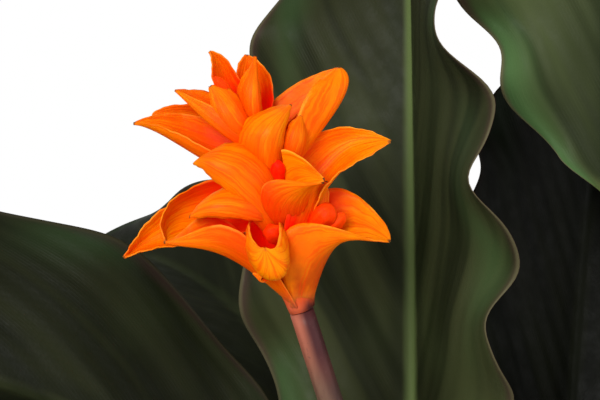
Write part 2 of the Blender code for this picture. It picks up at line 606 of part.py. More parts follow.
def keep_outer_shell(mesh):
    """Removes the small shells that a union can leave inside a solid."""
    build = bmesh.new()
    build.from_mesh(mesh)
    left = set(build.faces)
    shells = []
    while left:
        shell = set()
        edge_faces = {left.pop()}
        while edge_faces:
            face = edge_faces.pop()
            shell.add(face)
            near = {other for edge in face.edges for other in edge.link_faces}
            edge_faces |= near & left
            left -= near
        shells.append(shell)
    shells.sort(key=len)
    for shell in shells[:-1]:
        bmesh.ops.delete(build, geom=list(shell), context="FACES")
    build.to_mesh(mesh)
    build.free()


def make_head(orange):
    """The flower head: every bract rooted in one slim core, fused in one solid."""
    head = add("flower_head", tube_mesh("flower_head", *core_line(), CORE_SIDES), orange)
    meshes = [tube_mesh(name, *bud_line(bud), BUD_SIDES) for name, bud in BUDS.items()]
    for name, bract in {**BRACTS, **back_bracts()}.items():
        length = math.dist(bract["root"], bract["tip"])
        grid = CUPPED_GRID if "curve" in bract else LONG_GRID if length > LONG_LENGTH else SHORT_GRID
        meshes.append(shell_mesh(name, *bract_grids(bract, *grid, BRACT_THICKNESS)))
    pieces = bpy.data.collections.new("bracts")
    bpy.context.scene.collection.children.link(pieces)
    for mesh in meshes:
        mesh.materials.append(orange)
        pieces.objects.link(bpy.data.objects.new(mesh.name, mesh))
    union = head.modifiers.new("fuse", "BOOLEAN")
    union.operation = "UNION"
    union.operand_type = "COLLECTION"
    union.collection = pieces
    union.solver = "MANIFOLD"
    bpy.context.view_layer.objects.active = head
    bpy.ops.object.modifier_apply(modifier=union.name)
    for obj in list(pieces.objects):
        bpy.data.objects.remove(obj)
    bpy.data.collections.remove(pieces)
    keep_outer_shell(head.data)
    head.data.shade_smooth()
    return head


def stem_line(count):
    """The flower stem's midline, upright in the soil and leaning over to the head."""
    foot = np.array([STEM_ROOT[0] * MM, STEM_ROOT[1] * MM, SOIL_TOP - HOLE_DEPTH])
    top = head_to_world((0, 0, 0))
    lean = unit(head_to_world(head_axis(0.05)) - top)
    surface = foot + np.array([0, 0, HOLE_DEPTH + SOIL_MOUND])
    rise = top[2] - surface[2]
    low = surface + np.array([0, 0, rise * STEM_LOW_HANDLE])
    high = top - lean * rise * STEM_TOP_HANDLE
    t = np.linspace(0, 1, count - 1)[:, None]
    weights = [(1 - t) ** 3, 3 * t * (1 - t) ** 2, 3 * t * t * (1 - t), t ** 3]
    return np.vstack([foot, sum(w * p for w, p in zip(weights, (surface, low, high, top)))])


def make_stem(brown):
    """The flower stem."""
    line = stem_line(STEM_STATIONS)
    radii = np.linspace(STEM_RADIUS, STEM_TOP_RADIUS, STEM_STATIONS)
    stem = add("flower_stem", tube_mesh("flower_stem", line, radii, STEM_SIDES), brown)
    stem.data.shade_smooth()
    return stem


def clear_scene():
    """Removes what a new scene holds."""
    for obj in list(bpy.data.objects):
        bpy.data.objects.remove(obj, do_unlink=True)


def main():
    """Makes every piece in its place."""
    clear_scene()
    clay = material("clay", (0.55, 0.25, 0.15), 0.8)
    earth = material("earth", (0.05, 0.035, 0.025), 0.95)
    green = material("leaf_green", (0.04, 0.07, 0.03), 0.5)
    orange = material("bract_orange", (1.0, 0.2, 0.01), 0.45)
    brown = material("stem_brown", (0.3, 0.16, 0.13), 0.5)
    stands = [(*np.array(leaf["root"]) * MM, PETIOLE_RADIUS) for leaf in LEAVES.values()]
    stands.append((STEM_ROOT[0] * MM, STEM_ROOT[1] * MM, STEM_RADIUS))
    make_pot(clay)
    make_soil(earth, stands)
    for name in LEAVES:
        make_leaf(name, green)
    make_stem(brown)
    make_head(orange)


if __name__ == "__main__":
    main()
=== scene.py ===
"""The looks of a potted Calathea crocata: waved dark leaves with purple undersides, one orange flower head,
loose soil and a plain clay pot.

Metres, +Z up. Tables and forms are those of the solids, drawn finer: every leaf, bract and bud lies where its
solid does. Values written bare in the tables are in mm and degrees.
"""

import math
from collections import namedtuple

import bmesh
import bpy
import numpy as np
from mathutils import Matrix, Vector, noise


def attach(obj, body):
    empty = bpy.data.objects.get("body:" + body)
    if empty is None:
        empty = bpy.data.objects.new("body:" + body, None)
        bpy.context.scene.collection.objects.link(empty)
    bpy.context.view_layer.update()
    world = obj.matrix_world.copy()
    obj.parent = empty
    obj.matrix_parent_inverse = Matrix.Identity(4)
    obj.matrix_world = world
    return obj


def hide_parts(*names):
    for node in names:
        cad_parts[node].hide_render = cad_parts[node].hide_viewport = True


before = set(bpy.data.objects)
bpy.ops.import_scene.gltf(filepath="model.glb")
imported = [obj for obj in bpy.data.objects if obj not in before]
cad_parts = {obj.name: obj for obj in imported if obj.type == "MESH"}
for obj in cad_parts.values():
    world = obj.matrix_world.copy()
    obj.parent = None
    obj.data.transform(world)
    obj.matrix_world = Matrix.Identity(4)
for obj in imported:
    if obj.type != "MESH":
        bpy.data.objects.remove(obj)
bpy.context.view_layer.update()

MM = 0.001

# How far apart the streaks of two tones lie in their noise.
SEED_STEP = 37.0

# Camera: level with the flower head, looking along +Y and a little down.
VIEW_TILT = math.radians(6)
VIEW_TARGET = Vector((-0.045, -0.045, 0.300))
VIEW_DISTANCE = 0.345
VIEW_LENS = 100
VIEW_NEAREST = 0.01

# Soft lights, each with its place, size and power, and how strongly the white background lights the plant.
LIGHTS = {"key": ((-0.38, -0.92, 0.66), 0.5, 11), "fill": ((0.8, -0.5, 0.5), 0.7, 2.5)}
BACKGROUND_LIGHT = 0.55
FLOOR_SIZE = 2.0

# Pot: a plain tapered clay pot with a rim band, four drain holes, and faint lines and dents from its turning.
POT_HEIGHT = 110 * MM
POT_BASE_RADIUS = 43 * MM
POT_TOP_RADIUS = 58 * MM
POT_WALL = 5 * MM
POT_FLOOR = 6 * MM
RIM_HEIGHT = 24 * MM
RIM_STEP = 4.5 * MM
RIM_ROUND = 1.6 * MM
RIM_SLOPE = 1.4 * MM
FOOT_BEVEL = 2 * MM
DRAIN_RADIUS = 5 * MM
DRAIN_CIRCLE = 25 * MM
DRAIN_COUNT = 4
DRAIN_SIDES = 40
POT_SIDES = 128
POT_STEP = 2.2 * MM
POT_SHARP = math.radians(40)
SEAM_GAP = 0.01 * MM
TURNING_GAP = 3.1 * MM
TURNING_DEPTH = 0.07 * MM
TURNING_SHARE = 0.5
DENTS_PER_METRE = 60

# Soil: a low mound with lumps, crumbled on top. Its rings are crowded towards the margin.
SOIL_TOP = 97 * MM
SOIL_MOUND = 2.5 * MM
SOIL_BUMP = 0.9 * MM
BUMP_LENGTHS = (6.1 * MM, 5.3 * MM, 8.7 * MM)
BUMP_SLANT = 1.7
SLANT_SHARE = 0.6
BUMP_EDGE = 4
SOIL_RINGS = 64
SOIL_SIDES = 160
SOIL_MIDDLE = 0.004
RING_CROWDING = 0.75
SOIL_GAP = 0.3 * MM
SOIL_UNDERSIDE = 0.3
ROUGH_DEPTH = 0.8 * MM
ROUGH_SIZE = 3.2 * MM
ROUGH_LEVEL = 0.6
ROUGH_EDGE = 6

# Crumbs on the soil: how many, how large, how much commoner small ones are, and the share that lies round the
# stalks. They are pale grains, bark or plain, each stretched along X, Y and Z, dented, tilted and half sunk.
CRUMBS = 1100
CRUMB_SEED = 11
CRUMB_RADII = (0.5 * MM, 1.9 * MM)
CRUMB_CROWDING = 2.2
STALK_SHARE = 0.3
STALK_REACH = 6 * MM
STALK_GAP = 0.6
PALE_SHARE = 0.05
BARK_SHARE = 0.16
PALE, BARK, PLAIN = 1.0, 0.6, 0.1
BARK_STRETCH = (2.0, 1.0, 0.45)
GRAIN_STRETCH = (1.1, 0.9, 0.8)
CRUMB_DENT = 0.22
DENT_LIMIT = 1.5
CRUMB_TILT = 0.4
CRUMB_LIFT = 0.25
CRUMB_MARGIN = 2.2

# Leaf build: its thickness and what the margin loses of it, petiole, midrib, joint, and how finely it is
# drawn, finer where the photograph shows it from close by.
HOLE_DEPTH = 22 * MM
LEAF_THICKNESS = 0.42 * MM
MARGIN_THINNING = 0.6
THINNING_REACH = 8
PETIOLE_RADIUS = 2.6 * MM
PETIOLE_TOP_RADIUS = 1.7 * MM
RIB_DEPTH = 1.1 * MM
RIB_HALF = 1.3 * MM
RIB_ABOVE = 0.22
RIB_BELOW = 0.8
RIB_TAPER = 0.75
BASE_BLEND = 14 * MM
STRAIGHT_FOOT = 20 * MM
JOINT_LENGTH = 16 * MM
JOINT_MIDDLE = 0.45
JOINT_FULLNESS = 1.2
JOINT_FADE = 2.4
JOINT_SWELL = 0.3
FINE_POINTS = 400
PETIOLE_STATIONS = 26
LEAF_STEP = 2.4 * MM
NEAR_STEP = 1.1 * MM
LEAF_COLUMN = 1.3 * MM
EDGE_CROWDING = 0.25

# Blade shape: how full the outline is, and how much the last stretch before the tip is drawn in; how far each
# half arches, how far in the margin's waves reach, how they fade at both ends and swing in and out, how far
# the left half's waves lag behind the right half's, in radians, and how the bend grows along the blade.
OUTLINE_FULLNESS = 0.7
NARROWEST = 0.5 * MM
TIP_START = 0.72
TIP_DRAW = 0.3
ARCH = 0.16
WAVE_REACH = 3.2
WAVE_EASE = 0.6
SCALLOP = 0.4
SIDE_LAG = 1.9
LEAN_GROWTH = 1.1
LEAF_TONE = 1.0

# A quicker ripple on the margin's waves: its share of their height, its rate, its start and its reach.
RIPPLE = 0.1
RIPPLE_RATE = 2.37
RIPPLE_START = 1
RIPPLE_REACH = 3

# Lateral veins: their spacing along the midrib, how steeply they run out, and the pleats between them, which
# fade towards the midrib, the margin, and the blade's base and tip.
VEIN_GAP = 11 * MM
VEIN_SLOPE = 1.7
VEIN_BEND = 7.0
PLEAT_DEPTH = 0.26 * MM
RIB_FADE = 0.12
MARGIN_FADE = 0.15
END_FADE = 0.1

# Each leaf: root is where it leaves the soil (x, y in mm), azimuth is the way it leans (degrees from +X),
# petiole and blade are its lengths and half is the blade's half-width, in mm. lean is its angle from upright
# at the soil, at the blade's base and at its tip. roll turns the blade about its midrib, twist adds to that
# towards the tip, and fold raises both halves. wave is the margin's height in mm, its count and its phase.
# Where they aren't the usual ones, scallop is the share of that height that the margin swings in and out,
# tone is how bright the leaf's green is, as young leaves are lighter and leaves that lie in deep shade are
# painted darker as painted shade, and step is how finely it is drawn.
Leaf = namedtuple("Leaf", "root azimuth petiole blade half lean roll twist fold wave scallop tone step",
                  defaults=(SCALLOP, LEAF_TONE, LEAF_STEP))
LEAVES = {
    "leaf_center": Leaf((-16.4, 13), 92, 95, 215, 45.5, (2, 3, 12), -30, -56, 30, (5.0, 6.4, 311),
        step=NEAR_STEP),
    "leaf_tall_right": Leaf((31, 6), 80, 193, 188, 45, (2, 5, 9), -8, 0, 14, (4.6, 7.3, 326), scallop=0.8,
        tone=1.35, step=NEAR_STEP),
    "leaf_back_right": Leaf((20, 26), 71, 92, 172, 40, (3, 12, 32), 30, 0, 16, (4.0, 4.5, 250), tone=0.1,
        step=NEAR_STEP),
    "leaf_left": Leaf((-15, 1), 183, 110, 185, 44, (2, 34, 122), -42, 0, 20, (3.5, 4.2, 60), tone=0.36,
        step=NEAR_STEP),
    "leaf_back_left": Leaf((-3, 30), 131, 124, 150, 36, (3, 38, 105), -30, 0, 18, (3.5, 4.0, 0), tone=0.55,
        step=NEAR_STEP),
    "leaf_back": Leaf((10, 41), 72, 104, 158, 37, (7, 32, 76), 8, 0, 22, (3.5, 4.4, 120)),
    "leaf_right_back": Leaf((34, 18), 28, 112, 160, 37, (5, 30, 84), -10, 0, 22, (3.5, 4.2, 40)),
    "leaf_far_left": Leaf((-32, 20), 158, 66, 142, 34, (8, 48, 112), 6, 0, 22, (3.2, 3.8, 200)),
    "leaf_right": Leaf((38, -6), 348, 70, 150, 36, (6, 44, 104), -6, 0, 22, (3.2, 4.0, 310)),
    "leaf_front_right": Leaf((20, -28), 306, 62, 145, 35, (8, 46, 108), 8, 0, 22, (3.2, 3.9, 80)),
    "leaf_inner_right": Leaf((14, -12), 318, 74, 130, 31, (3, 22, 66), -8, 0, 24, (3.0, 3.8, 230),
        tone=1.35),
    "leaf_inner_left": Leaf((-28, -6), 201, 64, 136, 32, (6, 38, 96), 4, 0, 24, (3.0, 3.8, 270), tone=1.2),
    "leaf_front": Leaf((-3, -38), 266, 52, 132, 32, (8, 50, 112), -6, 0, 22, (3.0, 3.6, 160)),
    "leaf_front_left": Leaf((-32, -18), 216, 60, 142, 34, (8, 48, 110), 6, 0, 22, (3.2, 3.8, 20)),
}

# Flower stem: its foot and radii, the handles of its curve as shares of its rise, and its ridges and slow
# swell as shares of its radius. Then the head's place and tilt.
STEM_ROOT = (-8, -20)
STEM_RADIUS = 2.9 * MM
STEM_TOP_RADIUS = 2.5 * MM
STEM_SIDES = 40
STEM_STATIONS = 90
STEM_LOW_HANDLE = 0.35
STEM_TOP_HANDLE = 0.5
STEM_RIDGE = 0.02
STEM_RIDGES = 8
STEM_SWELL = 0.012
STEM_SWELLS = 3
SWELL_TURN = 9
HEAD_BASE = (-44.6, -47.4, 277.0)
HEAD_LEAN = 6.0

# Bract build: how finely they are drawn, how thick they are and what share of that the margin keeps, the ribs
# along them, and the ragged margin, a wave with a quicker one on it. Ribs and wave fade towards both ends.
BRACT_STATIONS = 44
BRACT_ACROSS = 35
TIP_CROWDING = 0.2
BRACT_THICKNESS = 0.5 * MM
BRACT_EDGE = 0.35
EDGE_REACH = 6
BRACT_BASE = 0.4
BRACT_CURVE = 65
BRACT_TONE = 0.5
ROOT_RED = 1.0
TIP_HALF = 0.3
BRACT_RIB = 0.05 * MM
BRACT_RIBS = 5
RIB_ENDS = (0.2, 0.25)
RAGGED_DEPTH = 0.13 * MM
RAGGED_GAP = 5.5
RAGGED_REACH = 4
RAGGED_ENDS = (0.3, 0.1)
QUICK_SHARE = 0.6
QUICK_RATE = 2.3
FULL_LENGTH = 25

# Core and buds: shares of their lengths, and the radius there, in mm for the core and as a share for a bud.
CORE_RINGS = 24
CORE_FOOT = 0.008
CORE_SHARES = (0, 0.1, 0.25, 0.6, 0.85, 1)
CORE_RADII = (2.5, 2.9, 4.2, 4.2, 3.0, 1.2)
BUD_SIDES = 20
BUD_STATIONS = 26
BUD_SHARES = (0, 0.4, 0.6, 0.8, 0.93, 1)
BUD_FULLNESS = (0.45, 0.6, 0.9, 1, 0.75, 0.15)
WRINKLE = 0.1
WRINKLES = 5

# The head's own frame is in mm: right, up, and towards the viewer. Its axis goes through these points.
HEAD_AXIS = [(0, 0, 0), (-3.5, 13, 1), (-7.5, 30, 1.5), (-11, 44, 1)]

# Each bract is a boat: its keel, its left and its right margin each pass two points between the root on the
# axis and the tip, and a margin may have a point of its own at the root, before those. Where they aren't the
# usual ones, base is the share of its first width at the root, curve is how many degrees of arc each half
# takes from keel to margin, tone is how yellow it is, from 0, red-orange, to 1, and red is how red its root
# is, and how strongly the painted glow shines there, less on the open bracts at the sides.
Bract = namedtuple("Bract", "root keel left right tip base curve tone red",
                   defaults=(BRACT_BASE, BRACT_CURVE, BRACT_TONE, ROOT_RED))
BRACTS = {
    "front_cup": Bract((-2, 6, 1), [(-6.2, 7.8, 8), (-5.6, 7.4, 13.5)],
        [(-10.2, 18.6, 5.5), (-10.1, 16, 13.5)], [(-4.4, 19, 5.5), (-4.6, 15.6, 13.5)], (-7.4, 13.6, 16.5),
        base=0.5, curve=132, tone=1.0),
    "right_boat": Bract((1.2, 1, 0), [(4.2, 9.5, 3), (9, 15.3, 3.5)],
        [(-2.2, 0.9, 2.7), (-2.5, 17.5, 8), (8.5, 17, 7)],
        [(2.3, 1.3, -2.3), (4, 24.5, -3), (13.5, 22.5, -2)], (18, 14.5, 3), curve=75, tone=1.0),
    "left_low": Bract((-1, 3, 0), [(-18, 15.5, -8), (-30.5, 15, -9)], [(-15, 12, -3), (-28.5, 13.4, -4)],
        [(-21.5, 22, -6), (-32, 19, -6)], (-37.5, 11, -6), tone=1.0),
    "left_broad": Bract((-6, 25, 0), [(-15, 21, -5), (-25, 19, -4)], [(-12, 16.5, 3), (-22, 14.5, 4)],
        [(-17.5, 27.6, -1), (-26.8, 23, 1)], (-27.8, 14.5, 4), base=0.6, tone=1.0),
    "left_cup": Bract((-1.5, 1, 0.5), [(-13, 10.5, 5), (-20.5, 13.5, 8)],
        [(-1, 1, 3.1), (-12, 16.5, 12), (-20, 17.5, 11)],
        [(-2.4, 1.3, -2.2), (-15.5, 19, 3), (-22.5, 18.5, 6)], (-28, 14.5, 7), curve=80, tone=0.35),
    "front_curl": Bract((-5.6, 9.5, 7), [(-7.4, 7.8, 10), (-8.9, 7.6, 11)],
        [(-6.7, 6.9, 9.8), (-8.1, 6.8, 11.3)], [(-7.6, 9, 9.8), (-9.7, 8.6, 10.9)], (-8, 8, 12), tone=0.1),
    "hood_low": Bract((-3, 18, 2), [(-8, 21.2, 8.5), (-15.5, 23, 11)],
        [(-0.5, 20, 4), (-5, 25.5, 6), (-14, 26.2, 6)], [(-6, 19, 5), (-10.5, 19.2, 9), (-17, 19.6, 10)],
        (-22.6, 19.7, 8), tone=0.55, red=1.4),
    "center_cup": Bract((-2, 16.5, 3), [(-2.5, 21.2, 9), (0, 24.8, 10.5)],
        [(-6.5, 18, 6), (-7.5, 26.3, 12.5), (-2, 27, 13)], [(1.5, 17, 2), (1.5, 24.5, 5), (3, 27, 7.5)],
        (4.2, 26.6, 11), curve=80, tone=0.6, red=1.7),
    "center_flap": Bract((-3, 25.5, 4.5), [(-0.5, 27.5, 7), (2, 27.8, 9)],
        [(-4.2, 33.2, 9), (-1.6, 32.6, 9), (1.6, 30.3, 9.5)],
        [(-3, 24.5, 9), (-0.4, 25.6, 10.5), (2.2, 26.2, 11)], (4.4, 27.2, 11), tone=1.0, red=0.0),
    "hood_left": Bract((-4, 14, 2), [(-8.5, 25.5, 10), (-16, 31, 11.5)],
        [(-4, 18, 3), (-7.8, 32.4, 5), (-14.6, 34.8, 5)], [(-8, 16, 4), (-11, 20.5, 7.5), (-18, 27.5, 9)],
        (-21.8, 30.5, 8), tone=0.8),
    "right": Bract((-2, 17, 0), [(4.5, 28, -2), (10.5, 33.5, -1)],
        [(1.5, 15, 3), (4.5, 25.5, 5), (10.3, 30.3, 4)], [(-6, 21, 0), (2, 36, 0), (11.7, 38, 0)],
        (18.2, 35.2, 2), tone=1.0, red=0.25),
    "upper_right": Bract((-4, 27, -1), [(2.6, 36.4, 0), (8.6, 44.8, 0.5)],
        [(-5, 28, 4), (-0.6, 41, 5), (2.6, 46.8, 3.5)], [(-10, 31, -3), (-6.5, 43.3, -4), (2.6, 49.3, -3.5)],
        (7.7, 50.5, -1), tone=0.8, red=0.25),
    "small_bud_leaf": Bract((-5, 26, 2), [(-1.6, 33.5, 7), (-0.6, 37.5, 7)],
        [(-3.7, 35, 6), (-2.6, 38.5, 6)], [(0.6, 33, 4), (0.7, 37.5, 4)], (-0.2, 40.2, 5)),
    "center_up": Bract((-7, 26, 2), [(-8, 34, 10), (-5.5, 38.8, 10)], [(-13.4, 36.8, 5), (-8.4, 41.3, 5)],
        [(-4, 33.5, 6), (-3, 39, 6)], (-2.3, 42.4, 6), base=0.7, tone=0.85),
    "neck": Bract((-0.5, 9, 1), [(1.5, 16, 3), (3, 22, 3)], [(-3, 10, 5), (-3.5, 18, 8), (-1, 24, 8.5)],
        [(2.5, 9, 0), (5, 17, 0), (5.5, 23, 1)], (5, 27, 2), tone=0.2, red=1.4),
    "back_wall": Bract((-2, 8, -1), [(-3.5, 14, -3), (-4.5, 20, -4)], [(-9, 15, 0), (-11, 21, 0)],
        [(2.5, 15, 0), (2.5, 21, 0)], (-5, 26, -4), tone=0.2),
    "left_mid": Bract((-7, 29, 0), [(-17.5, 31, -1), (-26.8, 36, 0)],
        [(-8, 26, 4), (-18, 32.8, 7), (-27.3, 37.6, 6)],
        [(-8, 35, -1), (-18.5, 39.8, -3), (-27.4, 41.2, -2)], (-34.6, 38.8, 2), curve=75, tone=0.45,
        red=0.4),
    "left_mid_back": Bract((-8, 31, -1), [(-17, 38, -6), (-25, 41, -5)],
        [(-17.5, 36, -4.5), (-26, 39.6, -4)], [(-9, 38, -2), (-18.5, 42.9, -4), (-28.4, 42.6, -3.5)],
        (-30.5, 40, -3), red=0.4),
    "left_point": Bract((-8, 32, 1), [(-15, 36, 5), (-21, 41, 4.5)], [(-14.5, 40, 7), (-20, 43, 6)],
        [(-13.5, 43, 0), (-20.5, 45.8, 0)], (-26, 45.6, 3), tone=0.35),
    "left_curl": Bract((-8.5, 33, 2), [(-13.6, 38.8, 7.5), (-16, 42.8, 7.5)],
        [(-16.4, 38, 4.5), (-18.6, 43, 6)], [(-11.3, 41.5, 4), (-14.6, 45.8, 5)], (-18.7, 46.2, 6), base=0.6,
        tone=0.5),
    "crown_left": Bract((-10.5, 39.5, 1), [(-14.5, 44.6, -2), (-16.8, 49.6, -1)],
        [(-17.6, 46, 3), (-18.5, 50.6, 3)], [(-12, 46.2, 1), (-15.2, 51.6, 1)], (-19, 53.6, 2), tone=0.2),
    "crown_front": Bract((-9, 36, 1), [(-10.4, 42.5, 6.5), (-10, 48, 6)], [(-13.3, 45, 3), (-11.7, 49, 4)],
        [(-8.2, 42, 4), (-9, 47.5, 4.5)], (-9.6, 52.5, 4)),
    "crown_back": Bract((-9.5, 37, -0.5), [(-10, 43.5, -5), (-10.3, 49, -4)],
        [(-13.5, 46, -1), (-13.2, 51, -1)], [(-6, 44.5, -1), (-7.2, 49.8, -1)], (-11.6, 53.4, -3)),
}

# Bracts of the side away from the photograph, in tiers: height on the axis, bearings in degrees from the
# viewer's right, length and half-width in mm. Their keels follow one path: shares of the length, and climb.
BACK_TIERS = [(10, (226, 262, 296), 20, 7), (22, (232, 266, 300), 18, 6.5), (33, (244, 288), 14, 5.5)]
BACK_PATH = [(0, 0), (0.38, 3), (0.72, 5), (1, 6)]
BACK_RISE = 3.5

# Buds in the throats: a point on the axis, the bud's tip, its radius in mm, and how red it is, which also
# sets its painted glow.
Bud = namedtuple("Bud", "foot tip radius red")
BUDS = {
    "front_bud": Bud((-1.5, 14, 1), (-6.9, 17, 11), 2.0, 0.65),
    "right_bud": Bud((-0.5, 14, 1), (6.2, 22, 6), 2.4, 0.35),
    "right_bud_small": Bud((0, 12, 1), (8.9, 20.4, 4.5), 1.6, 0.2),
    "middle_bud": Bud((-5, 23, 2), (-4.9, 31.2, 7.5), 1.5, 0.9),
    "crown_bud": Bud((-11, 40, 2), (-17.8, 48.2, 6), 1.2, 0.3),
}


def unit(v):
    """The vectors in v, each made one long."""
    v = np.asarray(v, float)
    return v / np.linalg.norm(v, axis=-1, keepdims=True)


def smooth(x):
    """0 before 0, 1 after 1, and an easy curve between."""
    x = np.clip(x, 0, 1)
    return x * x * (3 - 2 * x)


def crowded(even, share):
    """Even steps up to 1, of which this share crowds towards the ends."""
    return (1 - share) * even + share * np.sin(math.pi / 2 * even)


def through(points, t):
    """The cubic curve that passes through four points at t of 0, 1/3, 2/3 and 1."""
    fit = np.polyfit(np.linspace(0, 1, 4), np.asarray(points, float), 3)
    return np.stack([np.polyval(fit[:, k], t) for k in range(3)], axis=-1)


class Pile:
    """Points, faces and named values of one mesh, gathered from several parts."""

    def __init__(self):
        self.points = []
        self.faces = []
        self.values = {}
        self.count = 0

    def add(self, points, faces, **values):
        points = np.asarray(points, float).reshape(-1, 3)
        self.points.append(points)
        self.faces += [[self.count + v for v in face] for face in faces]
        for name, value in values.items():
            spread = np.broadcast_to(np.asarray(value, float).ravel(), (len(points),))
            self.values.setdefault(name, []).append(spread)
        self.count += len(points)

    def add_shell(self, sides, **values):
        """A thin shell from the grids of its two sides. A pair of values is one for each side."""
        shape = sides[0].shape[:2]
        for name, value in values.items():
            pair = value if isinstance(value, tuple) else (value, value)
            values[name] = np.stack([np.broadcast_to(one, shape) for one in pair])
        self.add(np.stack(sides), shell_faces(*shape), **values)

    def piece(self, name, finish, slot, *nodes):
        """Shows the mesh as a piece that stands for these nodes."""
        mesh = bpy.data.meshes.new(name)
        mesh.from_pydata(np.concatenate(self.points).tolist(), [], self.faces)
        for key, parts in self.values.items():
            attribute = mesh.attributes.new(key, "FLOAT", "POINT")
            attribute.data.foreach_set("value", np.concatenate(parts).astype(np.float32))
        mesh.shade_smooth()
        show(name, mesh, finish, slot, *nodes)


def place_object(name, data, place=(0, 0, 0)):
    """An object of the scene with this data, at its place."""
    made = bpy.data.objects.new(name, data)
    bpy.context.scene.collection.objects.link(made)
    made.location = place
    return made


def show(name, mesh, finish, slot, *nodes):
    """A piece with this mesh and finish, riding on the part and standing for these nodes."""
    mesh.materials.append(finish)
    piece = place_object(name, mesh)
    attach(piece, "root")
    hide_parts(*nodes)
    return piece


def shell_faces(rows, columns):
    """The quads of a closed thin shell: its upper grid, its lower grid and the rim between them."""
    count = rows * columns
    index = np.arange(count).reshape(rows, columns)
    corner = index[:-1, :-1].ravel()
    upper = np.stack([corner, corner + columns, corner + columns + 1, corner + 1], -1)
    around = np.concatenate([index[0, :-1], index[:-1, -1], index[-1, :0:-1], index[:0:-1, 0]])
    after = np.roll(around, -1)
    rim = np.stack([around, after, after + count, around + count], -1)
    return np.concatenate([upper, upper[:, ::-1] + count, rim]).tolist()


def ring_faces(rings, sides):
    """The quads of a closed tube made of rings, and a cap at each end."""
    k = np.arange(sides)
    side = [np.stack([i * sides + k, i * sides + (k + 1) % sides, (i + 1) * sides + (k + 1) % sides,
                      (i + 1) * sides + k], -1) for i in range(rings - 1)]
    caps = [k[::-1].tolist(), (k + (rings - 1) * sides).tolist()]
    return np.concatenate(side).tolist() + caps


def circle(sides):
    """Even angles once round."""
    return np.linspace(0, 2 * math.pi, sides, endpoint=False)


def tube_points(line, radii, sides):
    """Rings of points round a line; radii is one for each point of the line or a grid of them."""
    tangent = unit(np.gradient(line, axis=0))
    side = unit(np.cross(tangent, [0.0, 1.0, 0.0]))
    other = np.cross(tangent, side)
    angle = circle(sides)
    radii = np.broadcast_to(np.asarray(radii).reshape(len(line), -1), (len(line), sides))
    ring = side[:, None] * np.cos(angle)[:, None] + other[:, None] * np.sin(angle)[:, None]
    return line[:, None] + ring * radii[..., None]


# Leaves.


def leaf_spine(leaf, lengths):
    """Where the leaf's midline is at each length from its lower end, with its across and inner directions."""
    petiole, blade = leaf.petiole * MM, leaf.blade * MM
    fine = np.linspace(0, HOLE_DEPTH + petiole + blade, FINE_POINTS)
    on_petiole = smooth((fine - HOLE_DEPTH) / petiole)
    on_blade = np.clip((fine - HOLE_DEPTH - petiole) / blade, 0, 1)
    low, base, tip = np.radians(leaf.lean)
    lean = low * smooth((fine - HOLE_DEPTH) / STRAIGHT_FOOT)
    lean = lean + (base - low) * on_petiole + (tip - base) * on_blade ** LEAN_GROWTH
    heading = math.radians(leaf.azimuth)
    out = np.array([math.cos(heading), math.sin(heading), 0])
    up = np.array([0, 0, 1.0])
    tangent = np.outer(np.sin(lean), out) + np.outer(np.cos(lean), up)
    step = np.diff(fine)[:, None] * (tangent[1:] + tangent[:-1]) / 2
    start = np.array([leaf.root[0] * MM, leaf.root[1] * MM, SOIL_TOP - HOLE_DEPTH])
    place = start + np.vstack([np.zeros(3), np.cumsum(step, axis=0)])
    inner = np.outer(np.sin(lean), up) - np.outer(np.cos(lean), out)
    across = np.cross(inner, tangent)
    roll = math.radians(leaf.roll) * on_petiole + math.radians(leaf.twist) * on_blade ** 2
    turned_across = across * np.cos(roll)[:, None] + inner * np.sin(roll)[:, None]
    turned_inner = inner * np.cos(roll)[:, None] - across * np.sin(roll)[:, None]
    pick = [np.stack([np.interp(lengths, fine, a[:, k]) for k in range(3)], -1)
            for a in (place, turned_across, turned_inner)]
    return pick[0], unit(pick[1]), unit(pick[2])


def blade_outline(t):
    """Half-width of a blade at t, as a share of its widest: round at the base, pointed at the tip."""
    body = np.sin(math.pi * np.clip(t, 0, 1)) ** OUTLINE_FULLNESS
    return body * (1 - TIP_DRAW * smooth((t - TIP_START) / (1 - TIP_START)))


def vein_number(leaf, t, off):
    """Which lateral vein a point lies on, counted up the midrib. off is its distance from the midrib."""
    return (t * leaf.blade * MM - VEIN_SLOPE * off - VEIN_BEND * off * off) / VEIN_GAP


def blade_section(leaf, t, s):
    """How far the blade lies across, above and off its midrib, at t along and s from -1 to 1 across."""
    half = np.maximum(leaf.half * MM * blade_outline(t), NARROWEST)
    fold = math.radians(leaf.fold)
    height, count, phase = leaf.wave
    reach = np.abs(s)
    off = half * reach
    turn = 2 * math.pi * count * t + math.radians(phase) + np.where(s < 0, SIDE_LAG, 0)
    swell = height * MM * reach ** WAVE_REACH * np.sin(math.pi * np.clip(t, 0, 1)) ** WAVE_EASE
    rise = swell * np.sin(turn) + ARCH * half * reach * (1 - reach)
    rise = rise + RIPPLE * swell * reach ** RIPPLE_REACH * np.sin(RIPPLE_RATE * turn + RIPPLE_START)
    fade = smooth(reach / RIB_FADE) * smooth((1 - reach) / MARGIN_FADE)
    fade = fade * smooth(t / END_FADE) * smooth((1 - t) / END_FADE)
    rise = rise - PLEAT_DEPTH * fade * (0.5 + 0.5 * np.cos(2 * math.pi * vein_number(leaf, t, off)))
    reach_out = off + leaf.scallop * swell * np.cos(turn)
    across = np.sign(s) * (reach_out * math.cos(fold) - rise * math.sin(fold))
    return across, reach_out * math.sin(fold) + rise * math.cos(fold), off


